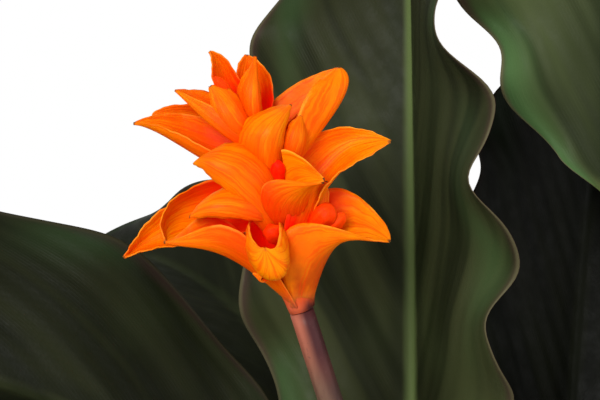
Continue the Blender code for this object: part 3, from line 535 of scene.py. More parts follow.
def make_leaf(name, leaf, finish):
    """One leaf: a round petiole with a swollen joint under the blade, and the waved blade."""
    petiole, blade = leaf.petiole * MM, leaf.blade * MM
    stalk = HOLE_DEPTH + petiole
    even = np.linspace(0, 1, round(blade / leaf.step) + 1)
    crowded_ends = (1 - np.cos(math.pi * even)) / 2
    blade_t = ((even + crowded_ends) / 2)[1:]
    lengths = np.concatenate([np.linspace(0, stalk, PETIOLE_STATIONS), stalk + blade_t * blade])
    place, side, inner = leaf_spine(leaf, lengths)
    lengths = lengths[:, None]
    on_blade = lengths - HOLE_DEPTH - petiole
    t = np.clip(on_blade / blade, 0, 1)
    columns = 2 * round(leaf.half * MM / LEAF_COLUMN) + 1
    s = crowded(np.linspace(-1, 1, columns), EDGE_CROWDING)[None, :]
    lateral, lift, off = blade_section(leaf, t, s)
    rib = np.exp(-(off / RIB_HALF) ** 2) * (1 - RIB_TAPER * t)
    thin = LEAF_THICKNESS * (1 - MARGIN_THINNING * np.abs(s) ** THINNING_REACH) / 2
    over = lift + thin + RIB_ABOVE * RIB_DEPTH * rib
    under = lift - thin - RIB_BELOW * RIB_DEPTH * rib
    share = np.clip(lengths / stalk, 0, 1)
    below_blade = (stalk - lengths) / JOINT_LENGTH
    joint = smooth(JOINT_FULLNESS - np.abs(below_blade - JOINT_MIDDLE) * JOINT_FADE)
    radius = PETIOLE_RADIUS + (PETIOLE_TOP_RADIUS - PETIOLE_RADIUS) * share
    radius = radius * (1 + JOINT_SWELL * joint)
    angle = math.pi / 2 * (1 - s * (1 - 1 / columns))
    mix = smooth(on_blade / BASE_BLEND)
    grids = []
    for rise, sign in ((over, 1), (under, -1)):
        a = (1 - mix) * radius * np.cos(angle) + mix * lateral
        b = (1 - mix) * sign * radius * np.sin(angle) + mix * rise
        grids.append(place[:, None] + side[:, None] * a[..., None] + inner[:, None] * b[..., None])
    pile = Pile()
    pile.add_shell(grids, along=t, across=s, off=off / MM, vein=vein_number(leaf, t, off), blade=mix,
                   stalk=share, joint=joint, upper=(1.0, 0.0), tone=leaf.tone)
    pile.piece("fine_" + name, finish, "leaf", name)


# Flower head and stem.


def head_to_world(points):
    """Points of the head's frame, in mm, as world points in metres."""
    points = np.asarray(points, float) * MM
    lean = math.radians(HEAD_LEAN)
    up = np.array([0, math.sin(lean), math.cos(lean)])
    near = np.array([0, -math.cos(lean), math.sin(lean)])
    right = np.array([1.0, 0, 0])
    return np.array(HEAD_BASE) * MM + points @ np.stack([right, up, near])


def head_place(points):
    """World points in metres as points of the head's frame, in mm."""
    home = head_to_world((0, 0, 0))
    return (points - home) @ (head_to_world(np.eye(3)) - home).T / MM ** 2


def head_axis(t):
    """Points of the head's axis, in its frame."""
    return through(HEAD_AXIS, t)


def bract_surface(bract, t, s):
    """Points on the bract's middle surface, in mm in the head's frame, at t along and s across."""
    keel = through([bract.root, *bract.keel, bract.tip], t)
    margins = []
    for side in (bract.left, bract.right):
        spread = np.subtract(side[-2:], bract.keel)
        start = side[0] if len(side) == 3 else np.array(bract.root) + bract.base * spread[0]
        end = np.array(bract.tip) + TIP_HALF * unit(spread[1])
        margins.append(through([start, *side[-2:], end], t))
    half = (margins[1] - margins[0]) / 2
    depth = (margins[1] + margins[0]) / 2 - keel
    arc = math.radians(bract.curve)
    out = (np.sin(arc * s) / math.sin(arc))[None, :, None]
    rise = ((1 - np.cos(arc * s)) / (1 - math.cos(arc)))[None, :, None]
    return keel[:, None] + half[:, None] * out + depth[:, None] * rise


def back_bracts():
    """The bracts of the far side, each rising from the axis and out along its bearing."""
    bracts = []
    up = np.array([0, 1.0, 0])
    for height, bearings, length, half in BACK_TIERS:
        root = head_axis(height / HEAD_AXIS[-1][1])
        for bearing in bearings:
            angle = math.radians(bearing)
            out = np.array([math.cos(angle), 0, math.sin(angle)])
            side = np.cross(up, out)
            line = [root + out * length * share + up * climb for share, climb in BACK_PATH]
            left, right = ([p + sign * half * side + BACK_RISE * up for p in line[1:3]] for sign in (-1, 1))
            bracts.append(Bract(line[0], line[1:3], left, right, line[3]))
    return bracts


def add_bract(pile, bract):
    """One bract: a thin shell with soft ribs along it and fine margins."""
    t = crowded(np.linspace(0, 1, BRACT_STATIONS), TIP_CROWDING)
    s = crowded(np.linspace(-1, 1, BRACT_ACROSS), EDGE_CROWDING)
    middle = head_to_world(bract_surface(bract, t, s))
    normals = unit(np.cross(np.gradient(middle, axis=0), np.gradient(middle, axis=1)))
    grid_t, grid_s = np.meshgrid(t, s, indexing="ij")
    length = math.dist(bract.root, bract.tip)
    turn = 2 * math.pi * length / RAGGED_GAP * grid_t + 2 * bract.tip[0] + np.sign(grid_s)
    ragged = np.sin(turn) + QUICK_SHARE * np.sin(QUICK_RATE * turn + 1)
    ragged = ragged * np.abs(grid_s) ** RAGGED_REACH
    ragged = ragged * smooth(grid_t / RAGGED_ENDS[0]) * smooth((1 - grid_t) / RAGGED_ENDS[1])
    middle = middle + normals * (RAGGED_DEPTH * min(1, length / FULL_LENGTH) * ragged)[..., None]
    ease = smooth(grid_t / RIB_ENDS[0]) * smooth((1 - grid_t) / RIB_ENDS[1])
    ribs = BRACT_RIB * ease * np.cos(2 * math.pi * BRACT_RIBS * grid_s)
    thin = BRACT_THICKNESS / 2 * (1 - (1 - BRACT_EDGE) * np.abs(grid_s) ** EDGE_REACH)
    faces = [middle + normals * (ribs + thin)[..., None], middle + normals * (ribs - thin)[..., None]]
    center = BRACT_ACROSS // 2
    opening = (middle[:, 0] + middle[:, -1]) / 2 - middle[:, center]
    inner = float(np.sum(normals[:, center] * opening) > 0)
    right, height, _ = np.moveaxis(head_place(middle), -1, 0)
    pile.add_shell(faces, along=grid_t, across=grid_s, height=height, right=right, inside=(inner, 1 - inner),
                   tone=bract.tone, deep=bract.red)


def add_bud(pile, bud):
    """A closed bud with wrinkles along it, fullest near its tip. Its colours are those of a bract's root."""
    t = np.linspace(0, 1, BUD_STATIONS)[:, None]
    foot, tip = np.array(bud.foot, float), np.array(bud.tip, float)
    angle = circle(BUD_SIDES)
    wrinkle = 1 + WRINKLE * np.cos(WRINKLES * angle + WRINKLES * t) * smooth(t / 0.5)
    radii = bud.radius * MM * np.interp(t, BUD_SHARES, BUD_FULLNESS) * wrinkle
    points = tube_points(head_to_world(foot + t * (tip - foot)), radii, BUD_SIDES)
    across = np.broadcast_to(0.8 * np.cos(angle), radii.shape)
    along = np.broadcast_to(0.05 + 0.25 * t, radii.shape)
    pile.add(points, ring_faces(BUD_STATIONS, BUD_SIDES), along=along, across=across, height=20.0, right=0.0,
             inside=1.0, tone=0.0, deep=bud.red)


def make_head(finish):
    """The flower head: its bracts and buds on one slim core."""
    pile = Pile()
    for bract in [*BRACTS.values(), *back_bracts()]:
        add_bract(pile, bract)
    for bud in BUDS.values():
        add_bud(pile, bud)
    t = np.linspace(CORE_FOOT, 1, CORE_RINGS)
    radii = np.interp(t, CORE_SHARES, CORE_RADII) * MM
    points = tube_points(head_to_world(head_axis(t)), radii, BUD_SIDES)
    right, height, _ = np.moveaxis(head_place(points), -1, 0)
    pile.add(points, ring_faces(CORE_RINGS, BUD_SIDES), along=0.1, across=0.0, height=height, right=right,
             inside=1.0, tone=0.1, deep=1.0)
    pile.piece("fine_flower_head", finish, "bract", "flower_head")


def stem_line(count):
    """The flower stem's midline, upright in the soil and leaning over to the head."""
    foot = np.array([STEM_ROOT[0] * MM, STEM_ROOT[1] * MM, SOIL_TOP - HOLE_DEPTH])
    top = head_to_world((0, 0, 0))
    lean = unit(head_to_world(head_axis(0.05)) - top)
    surface = foot + np.array([0, 0, HOLE_DEPTH + SOIL_MOUND])
    rise = top[2] - surface[2]
    low = surface + np.array([0, 0, rise * STEM_LOW_HANDLE])
    high = top - lean * rise * STEM_TOP_HANDLE
    t = np.linspace(0, 1, count - 1)[:, None]
    weights = [(1 - t) ** 3, 3 * t * (1 - t) ** 2, 3 * t * t * (1 - t), t ** 3]
    return np.vstack([foot, sum(w * p for w, p in zip(weights, (surface, low, high, top)))])


def make_stem(finish):
    """The flower stem, with faint ridges along it."""
    share = np.linspace(0, 1, STEM_STATIONS)[:, None]
    angle = circle(STEM_SIDES)[None, :]
    radii = STEM_RADIUS + (STEM_TOP_RADIUS - STEM_RADIUS) * share
    ridges = STEM_RIDGE * np.cos(STEM_RIDGES * angle)
    radii = radii * (1 + ridges + STEM_SWELL * np.sin(STEM_SWELLS * angle + SWELL_TURN * share))
    points = tube_points(stem_line(STEM_STATIONS), radii, STEM_SIDES)
    pile = Pile()
    pile.add(points, ring_faces(STEM_STATIONS, STEM_SIDES), rise=np.broadcast_to(share, radii.shape),
             turn=np.broadcast_to(np.cos(angle), radii.shape))
    pile.piece("fine_flower_stem", finish, "flower_stem", "flower_stem")


# Pot and soil.


def outer_radius(z):
    """The pot's outer radius under its rim band at a height."""
    return POT_BASE_RADIUS + (POT_TOP_RADIUS - POT_BASE_RADIUS) * z / POT_HEIGHT


def arc(centre, radius, start, end, count=6):
    """Points on an arc, with angles in degrees."""
    angles = np.radians(np.linspace(start, end, count))
    return [(centre[0] + radius * math.cos(a), centre[1] + radius * math.sin(a)) for a in angles]


def run(start, end):
    """Even points from start up to end, without end."""
    count = max(2, round(math.dist(start, end) / POT_STEP))
    return [tuple(np.array(start) + (np.array(end) - np.array(start)) * n / count) for n in range(count)]


def pot_profile(inside_base):
    """The pot's outline, from the middle of its underside round to the middle of its inner floor."""
    rim_low = POT_HEIGHT - RIM_HEIGHT
    rim_radius = outer_radius(POT_HEIGHT) + RIM_STEP
    inside_top = outer_radius(POT_HEIGHT) - POT_WALL
    wall_top = (outer_radius(rim_low), rim_low)
    corner = (inside_base, POT_FLOOR)
    foot = arc((POT_BASE_RADIUS - FOOT_BEVEL, FOOT_BEVEL), FOOT_BEVEL, -90, 0)
    under = [(rim_radius - RIM_SLOPE - RIM_ROUND, rim_low)]
    under += arc((rim_radius - RIM_ROUND, rim_low + RIM_ROUND), RIM_ROUND, -60, 0)
    lip = arc((rim_radius - RIM_ROUND / 2, POT_HEIGHT - RIM_ROUND), RIM_ROUND, 0, 90)
    inner_lip = arc((inside_top + RIM_ROUND, POT_HEIGHT - RIM_ROUND), RIM_ROUND, 90, 180)
    profile = run((0, 0), foot[0]) + foot[:-1] + run(foot[-1], wall_top) + [wall_top] + under[:-1]
    profile += run(under[-1], lip[0]) + lip + inner_lip[:-1] + run(inner_lip[-1], corner)
    return profile + run(corner, (0, POT_FLOOR)) + [(0, POT_FLOOR)]


def drill_drains(pot, finish):
    """Cuts the drain holes through the pot's floor."""
    for n in range(DRAIN_COUNT):
        angle = 2 * math.pi * (n + 0.5) / DRAIN_COUNT
        place = (DRAIN_CIRCLE * math.cos(angle), DRAIN_CIRCLE * math.sin(angle), 0)
        bpy.ops.mesh.primitive_cylinder_add(vertices=DRAIN_SIDES, radius=DRAIN_RADIUS, depth=4 * POT_FLOOR,
                                            location=place)
        drill = bpy.context.active_object
        drill.data.materials.append(finish)
        hole = pot.modifiers.new(f"drain_{n}", "BOOLEAN")
        hole.operation = "DIFFERENCE"
        hole.solver = "EXACT"
        hole.object = drill
        bpy.context.view_layer.objects.active = pot
        bpy.ops.object.modifier_apply(modifier=hole.name)
        bpy.data.objects.remove(drill)


def make_pot(finish):
    """The clay pot, turned, with rounded edges and its four drain holes."""
    inside_base = outer_radius(POT_FLOOR) - POT_WALL
    build = bmesh.new()
    line = [build.verts.new((r, 0, z)) for r, z in pot_profile(inside_base)]
    for a, b in zip(line, line[1:]):
        build.edges.new((a, b))
    bmesh.ops.spin(build, geom=build.verts[:] + build.edges[:], cent=(0, 0, 0), axis=(0, 0, 1),
                   angle=2 * math.pi, steps=POT_SIDES, use_merge=True)
    bmesh.ops.remove_doubles(build, verts=build.verts, dist=SEAM_GAP)
    bmesh.ops.recalc_face_normals(build, faces=build.faces)
    for v in build.verts:
        radius = math.hypot(v.co.x, v.co.y)
        if radius > inside_base and POT_FLOOR < v.co.z < POT_HEIGHT - RIM_ROUND:
            uneven = TURNING_SHARE * math.sin(2 * math.pi * v.co.z / TURNING_GAP)
            uneven += noise.noise(v.co * DENTS_PER_METRE)
            push = abs(TURNING_DEPTH * uneven / radius)
            v.co.x -= v.co.x * push
            v.co.y -= v.co.y * push
    mesh = bpy.data.meshes.new("fine_pot")
    build.to_mesh(mesh)
    build.free()
    mesh.shade_smooth()
    pot = show("fine_pot", mesh, finish, "clay", "pot")
    drill_drains(pot, finish)
    pot.data.set_sharp_from_angle(angle=POT_SHARP)


def soil_height(x, y):
    """The soil's surface: a low mound with small lumps."""
    along_x, along_y, slanting = BUMP_LENGTHS
    lumps = np.sin(x / along_x) * np.cos(y / along_y)
    lumps = lumps + SLANT_SHARE * np.sin((x + BUMP_SLANT * y) / slanting)
    inside = outer_radius(SOIL_TOP) - POT_WALL
    mound = 1 - (x * x + y * y) / inside ** 2
    return SOIL_TOP + SOIL_MOUND * mound + SOIL_BUMP * lumps * np.clip(mound * BUMP_EDGE, 0, 1)


def make_soil(finish):
    """The soil's body, with a crumbled top."""
    top_radius = outer_radius(SOIL_TOP) - POT_WALL - SOIL_GAP
    base_radius = outer_radius(POT_FLOOR) - POT_WALL - SOIL_GAP
    angle = circle(SOIL_SIDES)
    rings = []
    for share in np.linspace(SOIL_MIDDLE, 1, SOIL_RINGS) ** RING_CROWDING:
        x, y = top_radius * share * np.cos(angle), top_radius * share * np.sin(angle)
        rough = [noise.turbulence(Vector((a, b, 0)) / ROUGH_SIZE, 3, True) for a, b in zip(x, y)]
        depth = ROUGH_DEPTH * (np.array(rough) - ROUGH_LEVEL) * min(1, ROUGH_EDGE * (1 - share))
        rings.append(np.stack([x, y, soil_height(x, y) + depth], -1))
    for radius in (base_radius, SOIL_UNDERSIDE * base_radius):
        height = np.full(SOIL_SIDES, POT_FLOOR + SOIL_GAP)
        rings.append(np.stack([radius * np.cos(angle), radius * np.sin(angle), height], -1))
    faces = [face[::-1] for face in ring_faces(len(rings), SOIL_SIDES)]
    pile = Pile()
    pile.add(np.concatenate(rings), faces, kind=0.2, shade=0.5)
    pile.piece("fine_soil", finish, "soil", "soil")


def rotation(angle, i, j):
    """The matrix that turns axis i towards axis j."""
    matrix = np.eye(3)
    matrix[i, i] = matrix[j, j] = math.cos(angle)
    matrix[i, j] = -math.sin(angle)
    matrix[j, i] = math.sin(angle)
    return matrix


def make_crumbs(finish):
    """Crumbs, bark chips and pale grains that lie on the soil, each a small uneven stone."""
    rng = np.random.default_rng(CRUMB_SEED)
    build = bmesh.new()
    bmesh.ops.create_icosphere(build, subdivisions=2, radius=1.0)
    ball = np.array([v.co[:] for v in build.verts])
    faces = [[v.index for v in f.verts] for f in build.faces]
    build.free()
    stands = [leaf.root for leaf in LEAVES.values()] + [STEM_ROOT]
    inside = outer_radius(SOIL_TOP) - POT_WALL
    small, large = CRUMB_RADII
    pile = Pile()
    for _ in range(CRUMBS):
        radius = small + (large - small) * rng.random() ** CRUMB_CROWDING
        reach, bearing = (inside - 2 * radius) * math.sqrt(rng.random()), 2 * math.pi * rng.random()
        if rng.random() < STALK_SHARE:
            root = stands[rng.integers(len(stands))]
            x = root[0] * MM + STALK_REACH * math.cos(bearing) * (STALK_GAP + rng.random())
            y = root[1] * MM + STALK_REACH * math.sin(bearing) * (STALK_GAP + rng.random())
        else:
            x, y = reach * math.cos(bearing), reach * math.sin(bearing)
        draw = rng.random()
        kind = PALE if draw < PALE_SHARE else BARK if draw < PALE_SHARE + BARK_SHARE else PLAIN
        stretch = np.array(BARK_STRETCH if kind == BARK else GRAIN_STRETCH)
        dents = rng.standard_normal(len(ball)).clip(-DENT_LIMIT, DENT_LIMIT)[:, None]
        turn, tilt = rng.random() * math.pi, rng.standard_normal() * CRUMB_TILT
        points = (ball * stretch * (1 + CRUMB_DENT * dents) * radius) @ rotation(tilt, 1, 2).T
        points = points @ rotation(turn, 0, 1).T
        points += [x, y, soil_height(x, y) + CRUMB_LIFT * radius]
        if math.hypot(x, y) < inside - CRUMB_MARGIN * radius:
            pile.add(points, faces, kind=kind, shade=rng.random())
    pile.piece("soil_crumbs", finish, "soil", "soil")


# Finishes.


class Finish:
    """One material and short calls that add nodes to it, for values and colours at each point."""

    def __init__(self, name, roughness):
        self.material = bpy.data.materials.new(name)
        self.material.use_nodes = True
        self.tree = self.material.node_tree
        self.shader = self.tree.nodes["Principled BSDF"]
        self.set("Roughness", roughness)

    def node(self, kind, inputs=(), **settings):
        """A node with these settings, and these values on its inputs, in their order or by name."""
        made = self.tree.nodes.new("ShaderNode" + kind)
        for key, value in settings.items():
            setattr(made, key, value)
        for key, value in inputs.items() if isinstance(inputs, dict) else enumerate(inputs):
            self.put(made.inputs[key], value)
        return made

    def put(self, socket, value):
        """Links value to the socket, or sets it there."""
        if isinstance(value, bpy.types.NodeSocket):
            self.tree.links.new(value, socket)
        elif hasattr(value, "__len__") and len(value) == 3 and socket.type == "RGBA":
            socket.default_value = (*value, 1)
        else:
            socket.default_value = value

    def set(self, name, value):
        """Puts value on the shader's own socket of this name."""
        self.put(self.shader.inputs[name], value)

    def values(self, *names):
        """Values that the mesh holds at each point."""
        return [self.node("Attribute", attribute_name=name).outputs["Fac"] for name in names]

    def place(self):
        """The point's place on the object, in metres."""
        return self.node("TexCoord").outputs["Object"]

    def math(self, operation, *values):
        return self.node("Math", values, operation=operation).outputs[0]

    def by(self, first, *more):
        """The product of these values."""
        for value in more:
            first = self.math("MULTIPLY", first, value)
        return first

    def line(self, value, slope, start):
        """A value that rises evenly: slope times value, from start."""
        return self.math("MULTIPLY_ADD", value, slope, start)

    def rise(self, value, low, high, start=0.0, end=1.0):
        """From start where value is at low to end where it is at high, with an easy curve."""
        values = (value, low, high, start, end)
        return self.node("MapRange", values, interpolation_type="SMOOTHSTEP").outputs[0]

    def mix(self, share, a, b, blend="MIX"):
        """The colour a, with b mixed in by share."""
        return self.node("Mix", {0: share, 6: a, 7: b}, data_type="RGBA", blend_type=blend).outputs[2]

    def over(self, under, colour, *shares):
        """The colour under, with this one laid over it by the product of the shares."""
        return self.mix(self.by(*shares), under, colour)

    def texture(self, place, detail):
        return self.node("TexNoise", {"Vector": place, "Scale": 1, "Detail": detail}).outputs["Fac"]

    def noise(self, length, detail=3.0, stretch=(1, 1, 1)):
        """Noise with spots of about this length in metres, from 0 to 1."""
        scale = [1 / (length * k) for k in stretch]
        return self.texture(self.node("Mapping", {"Vector": self.place(), "Scale": scale}).outputs[0], detail)

    def streaks(self, across, along, seed, detail=2.0):
        """Uneven streaks, from 0 to 1, that run where across stays the same."""
        place = self.node("CombineXYZ", (across, along, self.by(seed, SEED_STEP))).outputs[0]
        return self.texture(place, detail)

    def wave(self, value, count):
        """A wave from 0 to 1 that repeats count times for each 1 of value."""
        return self.line(self.math("SINE", self.by(value, 2 * math.pi * count)), 0.5, 0.5)

    def bump(self, height, distance, strength=1.0):
        """Adds this height, times distance in metres, to the shader's normal."""
        made = self.node("Bump", {"Height": height, "Distance": distance, "Strength": strength})
        normal = self.shader.inputs["Normal"]
        if normal.is_linked:
            self.put(made.inputs["Normal"], normal.links[0].from_socket)
        self.put(normal, made.outputs["Normal"])


def leaf_finish():
    """Dark green above with soft paler bands along the veins, purple underneath, green midrib and stalk."""
    f = Finish("leaf", 0.42)
    along, across, off, vein = f.values("along", "across", "off", "vein")
    blade, stalk, joint, upper, tone = f.values("blade", "stalk", "joint", "upper", "tone")
    reach = f.math("ABSOLUTE", across)

    # Broad and narrow bands along the veins, paler and darker patches, and the darker tip half.
    number = f.line(f.noise(0.03, 1), 0.6, vein)
    flow = f.by(off, 0.02)
    band = f.streaks(f.by(number, 0.75), flow, tone, 1.0)
    narrow = f.streaks(f.by(number, 2.6), flow, tone, 2.0)
    green = f.mix(f.rise(band, 0.36, 0.66), (0.012, 0.015, 0.005), (0.04, 0.046, 0.017))
    green = f.over(green, (0.046, 0.052, 0.02), f.rise(narrow, 0.4, 0.7), 0.16)
    green = f.over(green, (0.046, 0.062, 0.02), f.rise(f.noise(0.045, 2), 0.45, 0.8, 0, 0.6))
    green = f.over(green, (0.011, 0.012, 0.005), f.rise(along, 0.35, 0.75, 0, 0.7))

    # Painted light: brighter green in patches towards the margin, as if lit through the thin edge. Darker
    # beside the midrib, and painted shade at the blade's base.
    patches = f.rise(f.noise(0.035, 1), 0.42, 0.62)
    green = f.over(green, (0.04, 0.082, 0.026), f.rise(reach, 0.6, 0.97), patches, 0.75)
    green = f.over(green, (0.016, 0.02, 0.008), f.rise(off, 2.0, 3.0), f.rise(off, 8.0, 4.0, 0, 0.6))
    # Painted shade: darker at the blade's base next to the midrib, where the stem and the leaves above shade
    # it.
    green = f.over(green, (0.009, 0.01, 0.004), f.rise(along, 0.38, 0.2), f.rise(reach, 0.75, 0.3, 0, 0.65))

    # Fine pale lines along the veins. Young leaves are greener.
    fine = f.by(f.rise(f.wave(vein, 7), 0.5, 1.0), f.rise(off, 1.5, 6.0))
    faint = f.by(fine, f.rise(f.noise(0.012, 2), 0.4, 0.75))
    green = f.over(green, (0.085, 0.09, 0.052), faint, 0.07)
    green = f.mix(f.rise(tone, 1.1, 1.3), green, (1.05, 1.18, 1.15), "MULTIPLY")

    # The midrib, which narrows towards the tip and is faint on the leaves painted dark as shade, and the
    # margin.
    rib_edge = f.line(along, -1.6, 3.6)
    rib = f.rise(off, rib_edge, f.by(rib_edge, 0.1))
    green = f.over(green, (0.09, 0.124, 0.04), rib, f.rise(tone, 0.5, 1.0, 0.12, 1.0))
    margin = f.line(f.noise(0.03, 1), 0.1, reach)
    green = f.over(green, (0.06, 0.028, 0.026), f.rise(margin, 0.98, 1.06, 0, 0.7))
    edge = f.by(f.rise(reach, 0.97, 0.995), 0.6)
    green = f.over(green, (0.11, 0.105, 0.05), edge)
    # Painted shade: a low tone darkens the whole upper face of the leaves that lie in deep shade.
    green = f.node("HueSaturation", {"Value": tone, "Color": green}).outputs[0]

    purple = f.mix(f.rise(band, 0.3, 0.7), (0.085, 0.01, 0.022), (0.14, 0.022, 0.04))
    purple = f.over(purple, (0.055, 0.006, 0.016), fine, 0.3)
    purple = f.over(purple, (0.17, 0.075, 0.055), f.rise(off, 2.2, 1.0))
    purple = f.over(purple, (0.055, 0.032, 0.022), edge)

    streak = f.noise(0.0012, 3, (1, 1, 14))
    green_stalk = f.mix(streak, (0.05, 0.075, 0.018), (0.11, 0.125, 0.04))
    brown_foot = f.mix(streak, (0.075, 0.028, 0.022), (0.12, 0.055, 0.035))
    petiole = f.mix(f.rise(stalk, 0.25, 0.75), brown_foot, green_stalk)
    petiole = f.over(petiole, (0.13, 0.16, 0.055), joint, 0.7)
    sides = f.mix(upper, purple, green)
    f.set("Base Color", f.mix(f.rise(blade, 0.15, 0.85), petiole, sides))
    f.set("Roughness", f.rise(f.noise(0.004, 3), 0.25, 0.75, 0.4, 0.54))
    f.set("Specular IOR Level", 0.06)
    f.bump(f.by(faint, blade), 0.02 * MM)
    f.bump(f.noise(0.0009, 3), 0.06 * MM, 0.8)
    return f.material


def bract_finish():
    """Waxy orange: red in the throats, with a painted glow there, red-orange inside, yellower at tips and
    margins, finely veined, and painted shade low on the outside and at the right of the foot.
    """
    f = Finish("bract", 0.42)
    along, across, height, right = f.values("along", "across", "height", "right")
    inside, tone, deep = f.values("inside", "tone", "deep")
    reach = f.math("ABSOLUTE", across)
    outer = f.mix(tone, (0.8, 0.08, 0), (0.82, 0.205, 0))
    inner = f.mix(tone, (0.79, 0.065, 0), (0.82, 0.205, 0))
    body = f.mix(inside, outer, inner)
    body = f.over(body, (0.83, 0.215, 0.001), f.rise(along, 0.45, 1.0, 0, 0.5))

    # Red at the root, most on the inside, with redder patches, and painted shade on the outside of the lower
    # bracts, patchy and darker to the right.
    throat = f.by(f.rise(along, 0.7, 0.2), f.line(inside, 0.5, 0.5), f.by(f.rise(height, 6, 14), deep))
    body = f.over(body, (0.72, 0.003, 0), throat)
    body = f.over(body, (0.76, 0.075, 0.001), f.rise(f.noise(0.006, 2), 0.4, 0.75), 0.5)
    shade_mottle = f.rise(f.line(right, 0.07, f.noise(0.005, 3)), 0.35, 0.75)
    shade = f.by(shade_mottle, f.rise(height, 17, 8, 0, 0.85))
    body = f.over(body, (0.44, 0.045, 0.003), shade, f.math("SUBTRACT", 1.0, inside))

    # Fine and broad veins along the bract.
    flow = f.line(f.noise(0.003, 2), 0.16, across)
    line = f.streaks(f.by(flow, 20), f.by(along, 1.6), tone, 1.0)
    broad = f.streaks(f.by(flow, 4), f.by(along, 2.5), tone)
    body = f.over(body, (0.75, 0.062, 0), f.rise(broad, 0.5, 0.75), 0.45)
    body = f.over(body, (0.84, 0.26, 0.002), f.rise(broad, 0.45, 0.25), 0.4)
    body = f.over(body, (0.7, 0.052, 0), f.rise(line, 0.46, 0.62), 0.55)

    # A painted red glow in the throats, laid on the colour and given off as light, the paler margin, the
    # brown collar at the stem with painted shade on its right, and brown tips.
    painted_glow = f.by(throat, inside)
    body = f.over(body, (0.8, 0.002, 0.001), painted_glow, 0.7)
    edge = f.by(f.rise(reach, 0.93, 0.99), f.rise(f.noise(0.005, 1), 0.35, 0.65))
    body = f.over(body, (0.98, 0.34, 0.03), edge, 0.38)
    uneven = f.line(f.noise(0.003, 2), 2.5, height)
    body = f.over(body, (0.47, 0.085, 0.034), f.rise(uneven, 6.5, 1.0))
    # Painted shade: darker on the right of the foot, beside the stem.
    body = f.over(body, (0.06, 0.014, 0.014), f.rise(uneven, 5.0, 2.2), f.rise(right, -0.8, 1.8))
    tip = f.by(f.rise(along, 0.975, 0.998), f.rise(f.noise(0.004, 1), 0.35, 0.6))
    f.set("Base Color", f.over(body, (0.12, 0.045, 0.015), tip))
    # The painted glow is also given off as light from the throats.
    f.set("Emission Color", f.mix(painted_glow, (0, 0, 0), (0.8, 0.006, 0)))
    f.set("Emission Strength", 0.16)
    f.set("Roughness", f.rise(f.noise(0.002, 3), 0.2, 0.8, 0.38, 0.52))
    f.set("Specular IOR Level", 0.05)
    f.set("Subsurface Weight", 0.35)
    f.set("Subsurface Radius", (1.0, 0.4, 0.1))
    f.set("Subsurface Scale", 1.0 * MM)
    f.bump(line, 0.07 * MM)
    f.bump(f.noise(0.0016, 3), 0.09 * MM, 0.7)
    return f.material


def stem_finish():
    """Pinkish brown with fine streaks and greener at the foot; painted shade darkens its right side, to dark
    purple-brown where it meets the head.
    """
    f = Finish("flower_stem", 0.5)
    rise, turn = f.values("rise", "turn")
    streak = f.noise(0.0011, 3, (1, 1, 16))
    low = f.mix(streak, (0.1, 0.065, 0.03), (0.17, 0.12, 0.055))
    high = f.mix(streak, (0.088, 0.042, 0.027), (0.16, 0.086, 0.056))
    body = f.mix(f.rise(rise, 0.1, 0.6), low, high)
    # Painted shade: darker down the right side, away from the key light.
    body = f.over(body, (0.04, 0.017, 0.015), f.rise(turn, 0.3, -0.7, 0, 0.85))
    body = f.over(body, (0.4, 0.105, 0.06), f.rise(rise, 0.93, 1.0, 0, 0.8))
    # Painted shade: dark purple-brown on the right side where it meets the head.
    body = f.over(body, (0.05, 0.012, 0.013), f.rise(rise, 0.92, 0.97), f.rise(turn, 0.6, -0.3))
    speck = f.rise(f.noise(0.0008, 2), 0.62, 0.72)
    f.set("Base Color", f.over(body, (0.09, 0.035, 0.03), speck, 0.5))
    f.set("Roughness", f.rise(streak, 0.2, 0.8, 0.42, 0.58))
    f.set("Specular IOR Level", 0.2)
    f.bump(streak, 0.12 * MM)
    return f.material


def clay_finish():
    """Fired clay: warm and uneven, with a chalky bloom near the foot and rim, and fine grit."""
    f = Finish("clay", 0.85)
    height = f.node("SeparateXYZ", [f.place()]).outputs["Z"]
    body = f.mix(f.rise(f.noise(0.03, 4), 0.3, 0.7), (0.46, 0.165, 0.075), (0.6, 0.245, 0.125))
    body = f.over(body, (0.68, 0.33, 0.19), f.rise(f.noise(0.0022, 3, (1, 1, 0.35)), 0.4, 0.75), 0.35)
    ends = f.math("MAXIMUM", f.rise(height, 0.03, 0.004), f.rise(height, 0.075, 0.098))
    body = f.over(body, (0.74, 0.6, 0.48), f.rise(f.noise(0.012, 5), 0.45, 0.75), f.line(ends, 0.7, 0.12))
    grit = f.rise(f.noise(0.0007, 2), 0.66, 0.74)
    f.set("Base Color", f.over(body, (0.22, 0.1, 0.06), grit, 0.5))
    f.set("Roughness", f.rise(f.noise(0.004, 2), 0.3, 0.7, 0.78, 0.95))
    f.bump(f.noise(0.0011, 4), 0.22 * MM)
    f.bump(f.noise(0.006, 3, (1, 1, 0.3)), 0.35 * MM, 0.8)
    return f.material


def soil_finish():
    """Dark damp soil, brown bark and pale grains."""
    f = Finish("soil", 0.95)
    kind, shade = f.values("kind", "shade")
    dark = f.mix(f.noise(0.0018, 4), (0.012, 0.008, 0.005), (0.055, 0.036, 0.022))
    dark = f.over(dark, (0.075, 0.048, 0.028), shade, 0.5)
    bark = f.mix(shade, (0.075, 0.034, 0.016), (0.17, 0.085, 0.04))
    bark = f.over(bark, (0.05, 0.025, 0.014), f.noise(0.0009, 3, (1, 4, 1)))
    pale = f.mix(f.noise(0.0007, 3), (0.45, 0.42, 0.36), (0.75, 0.73, 0.68))
    body = f.mix(f.rise(kind, 0.35, 0.5), dark, bark)
    f.set("Base Color", f.mix(f.rise(kind, 0.75, 0.9), body, pale))
    f.set("Roughness", f.rise(f.noise(0.003, 2), 0.3, 0.7, 0.82, 1.0))
    f.bump(f.noise(0.0006, 4), 0.25 * MM)
    return f.material


# Stage.


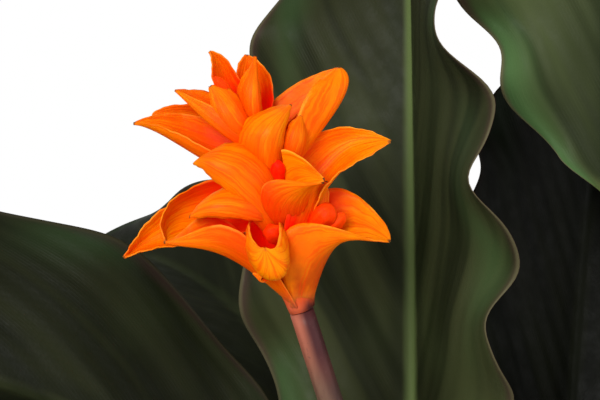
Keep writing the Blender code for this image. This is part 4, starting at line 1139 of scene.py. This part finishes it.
def make_floor():
    """A plain pale floor with a faint mottle."""
    f = Finish("floor", 0.75)
    f.set("Base Color", f.mix(f.noise(0.08, 4), (0.76, 0.75, 0.73), (0.8, 0.79, 0.77)))
    bpy.ops.mesh.primitive_plane_add(size=FLOOR_SIZE, location=(0, 0, 0))
    floor = bpy.context.active_object
    floor.name = "floor"
    floor.data.materials.append(f.material)


def make_world():
    """A white studio, whose background lights the plant less than it looks."""
    world = bpy.data.worlds.new("studio")
    world.use_nodes = True
    bpy.context.scene.world = world
    tree = world.node_tree
    background = tree.nodes["Background"]
    background.inputs["Color"].default_value = (1, 1, 1, 1)
    seen = tree.nodes.new("ShaderNodeLightPath")
    strength = tree.nodes.new("ShaderNodeMix")
    strength.inputs[2].default_value = BACKGROUND_LIGHT
    strength.inputs[3].default_value = 1.0
    tree.links.new(seen.outputs["Is Camera Ray"], strength.inputs[0])
    tree.links.new(strength.outputs[0], background.inputs["Strength"])
    scene = bpy.context.scene
    scene.view_settings.view_transform = "Standard"
    scene.view_settings.look = "None"


def soft_light(name, place, size, power):
    """A square soft light that faces the flower head."""
    data = bpy.data.lights.new(name, "AREA")
    data.size = size
    data.energy = power
    lamp = place_object(name, data, place)
    lamp.rotation_euler = (VIEW_TARGET - Vector(place)).to_track_quat("-Z", "Y").to_euler()


def make_camera():
    """The camera, level with the flower head."""
    data = bpy.data.cameras.new("photo_view")
    data.lens = VIEW_LENS
    data.clip_start = VIEW_NEAREST
    back = Vector((0, -math.cos(VIEW_TILT), math.sin(VIEW_TILT)))
    camera = place_object("photo_view", data, VIEW_TARGET + back * VIEW_DISTANCE)
    camera.rotation_euler = (math.pi / 2 - VIEW_TILT, 0, 0)
    bpy.context.scene.camera = camera


make_camera()
make_world()
for light_name, light in LIGHTS.items():
    soft_light(light_name, *light)
make_floor()
leaf_green = leaf_finish()
for leaf_name, one_leaf in LEAVES.items():
    make_leaf(leaf_name, one_leaf, leaf_green)
make_head(bract_finish())
make_stem(stem_finish())
make_pot(clay_finish())
earth = soil_finish()
make_soil(earth)
make_crumbs(earth)
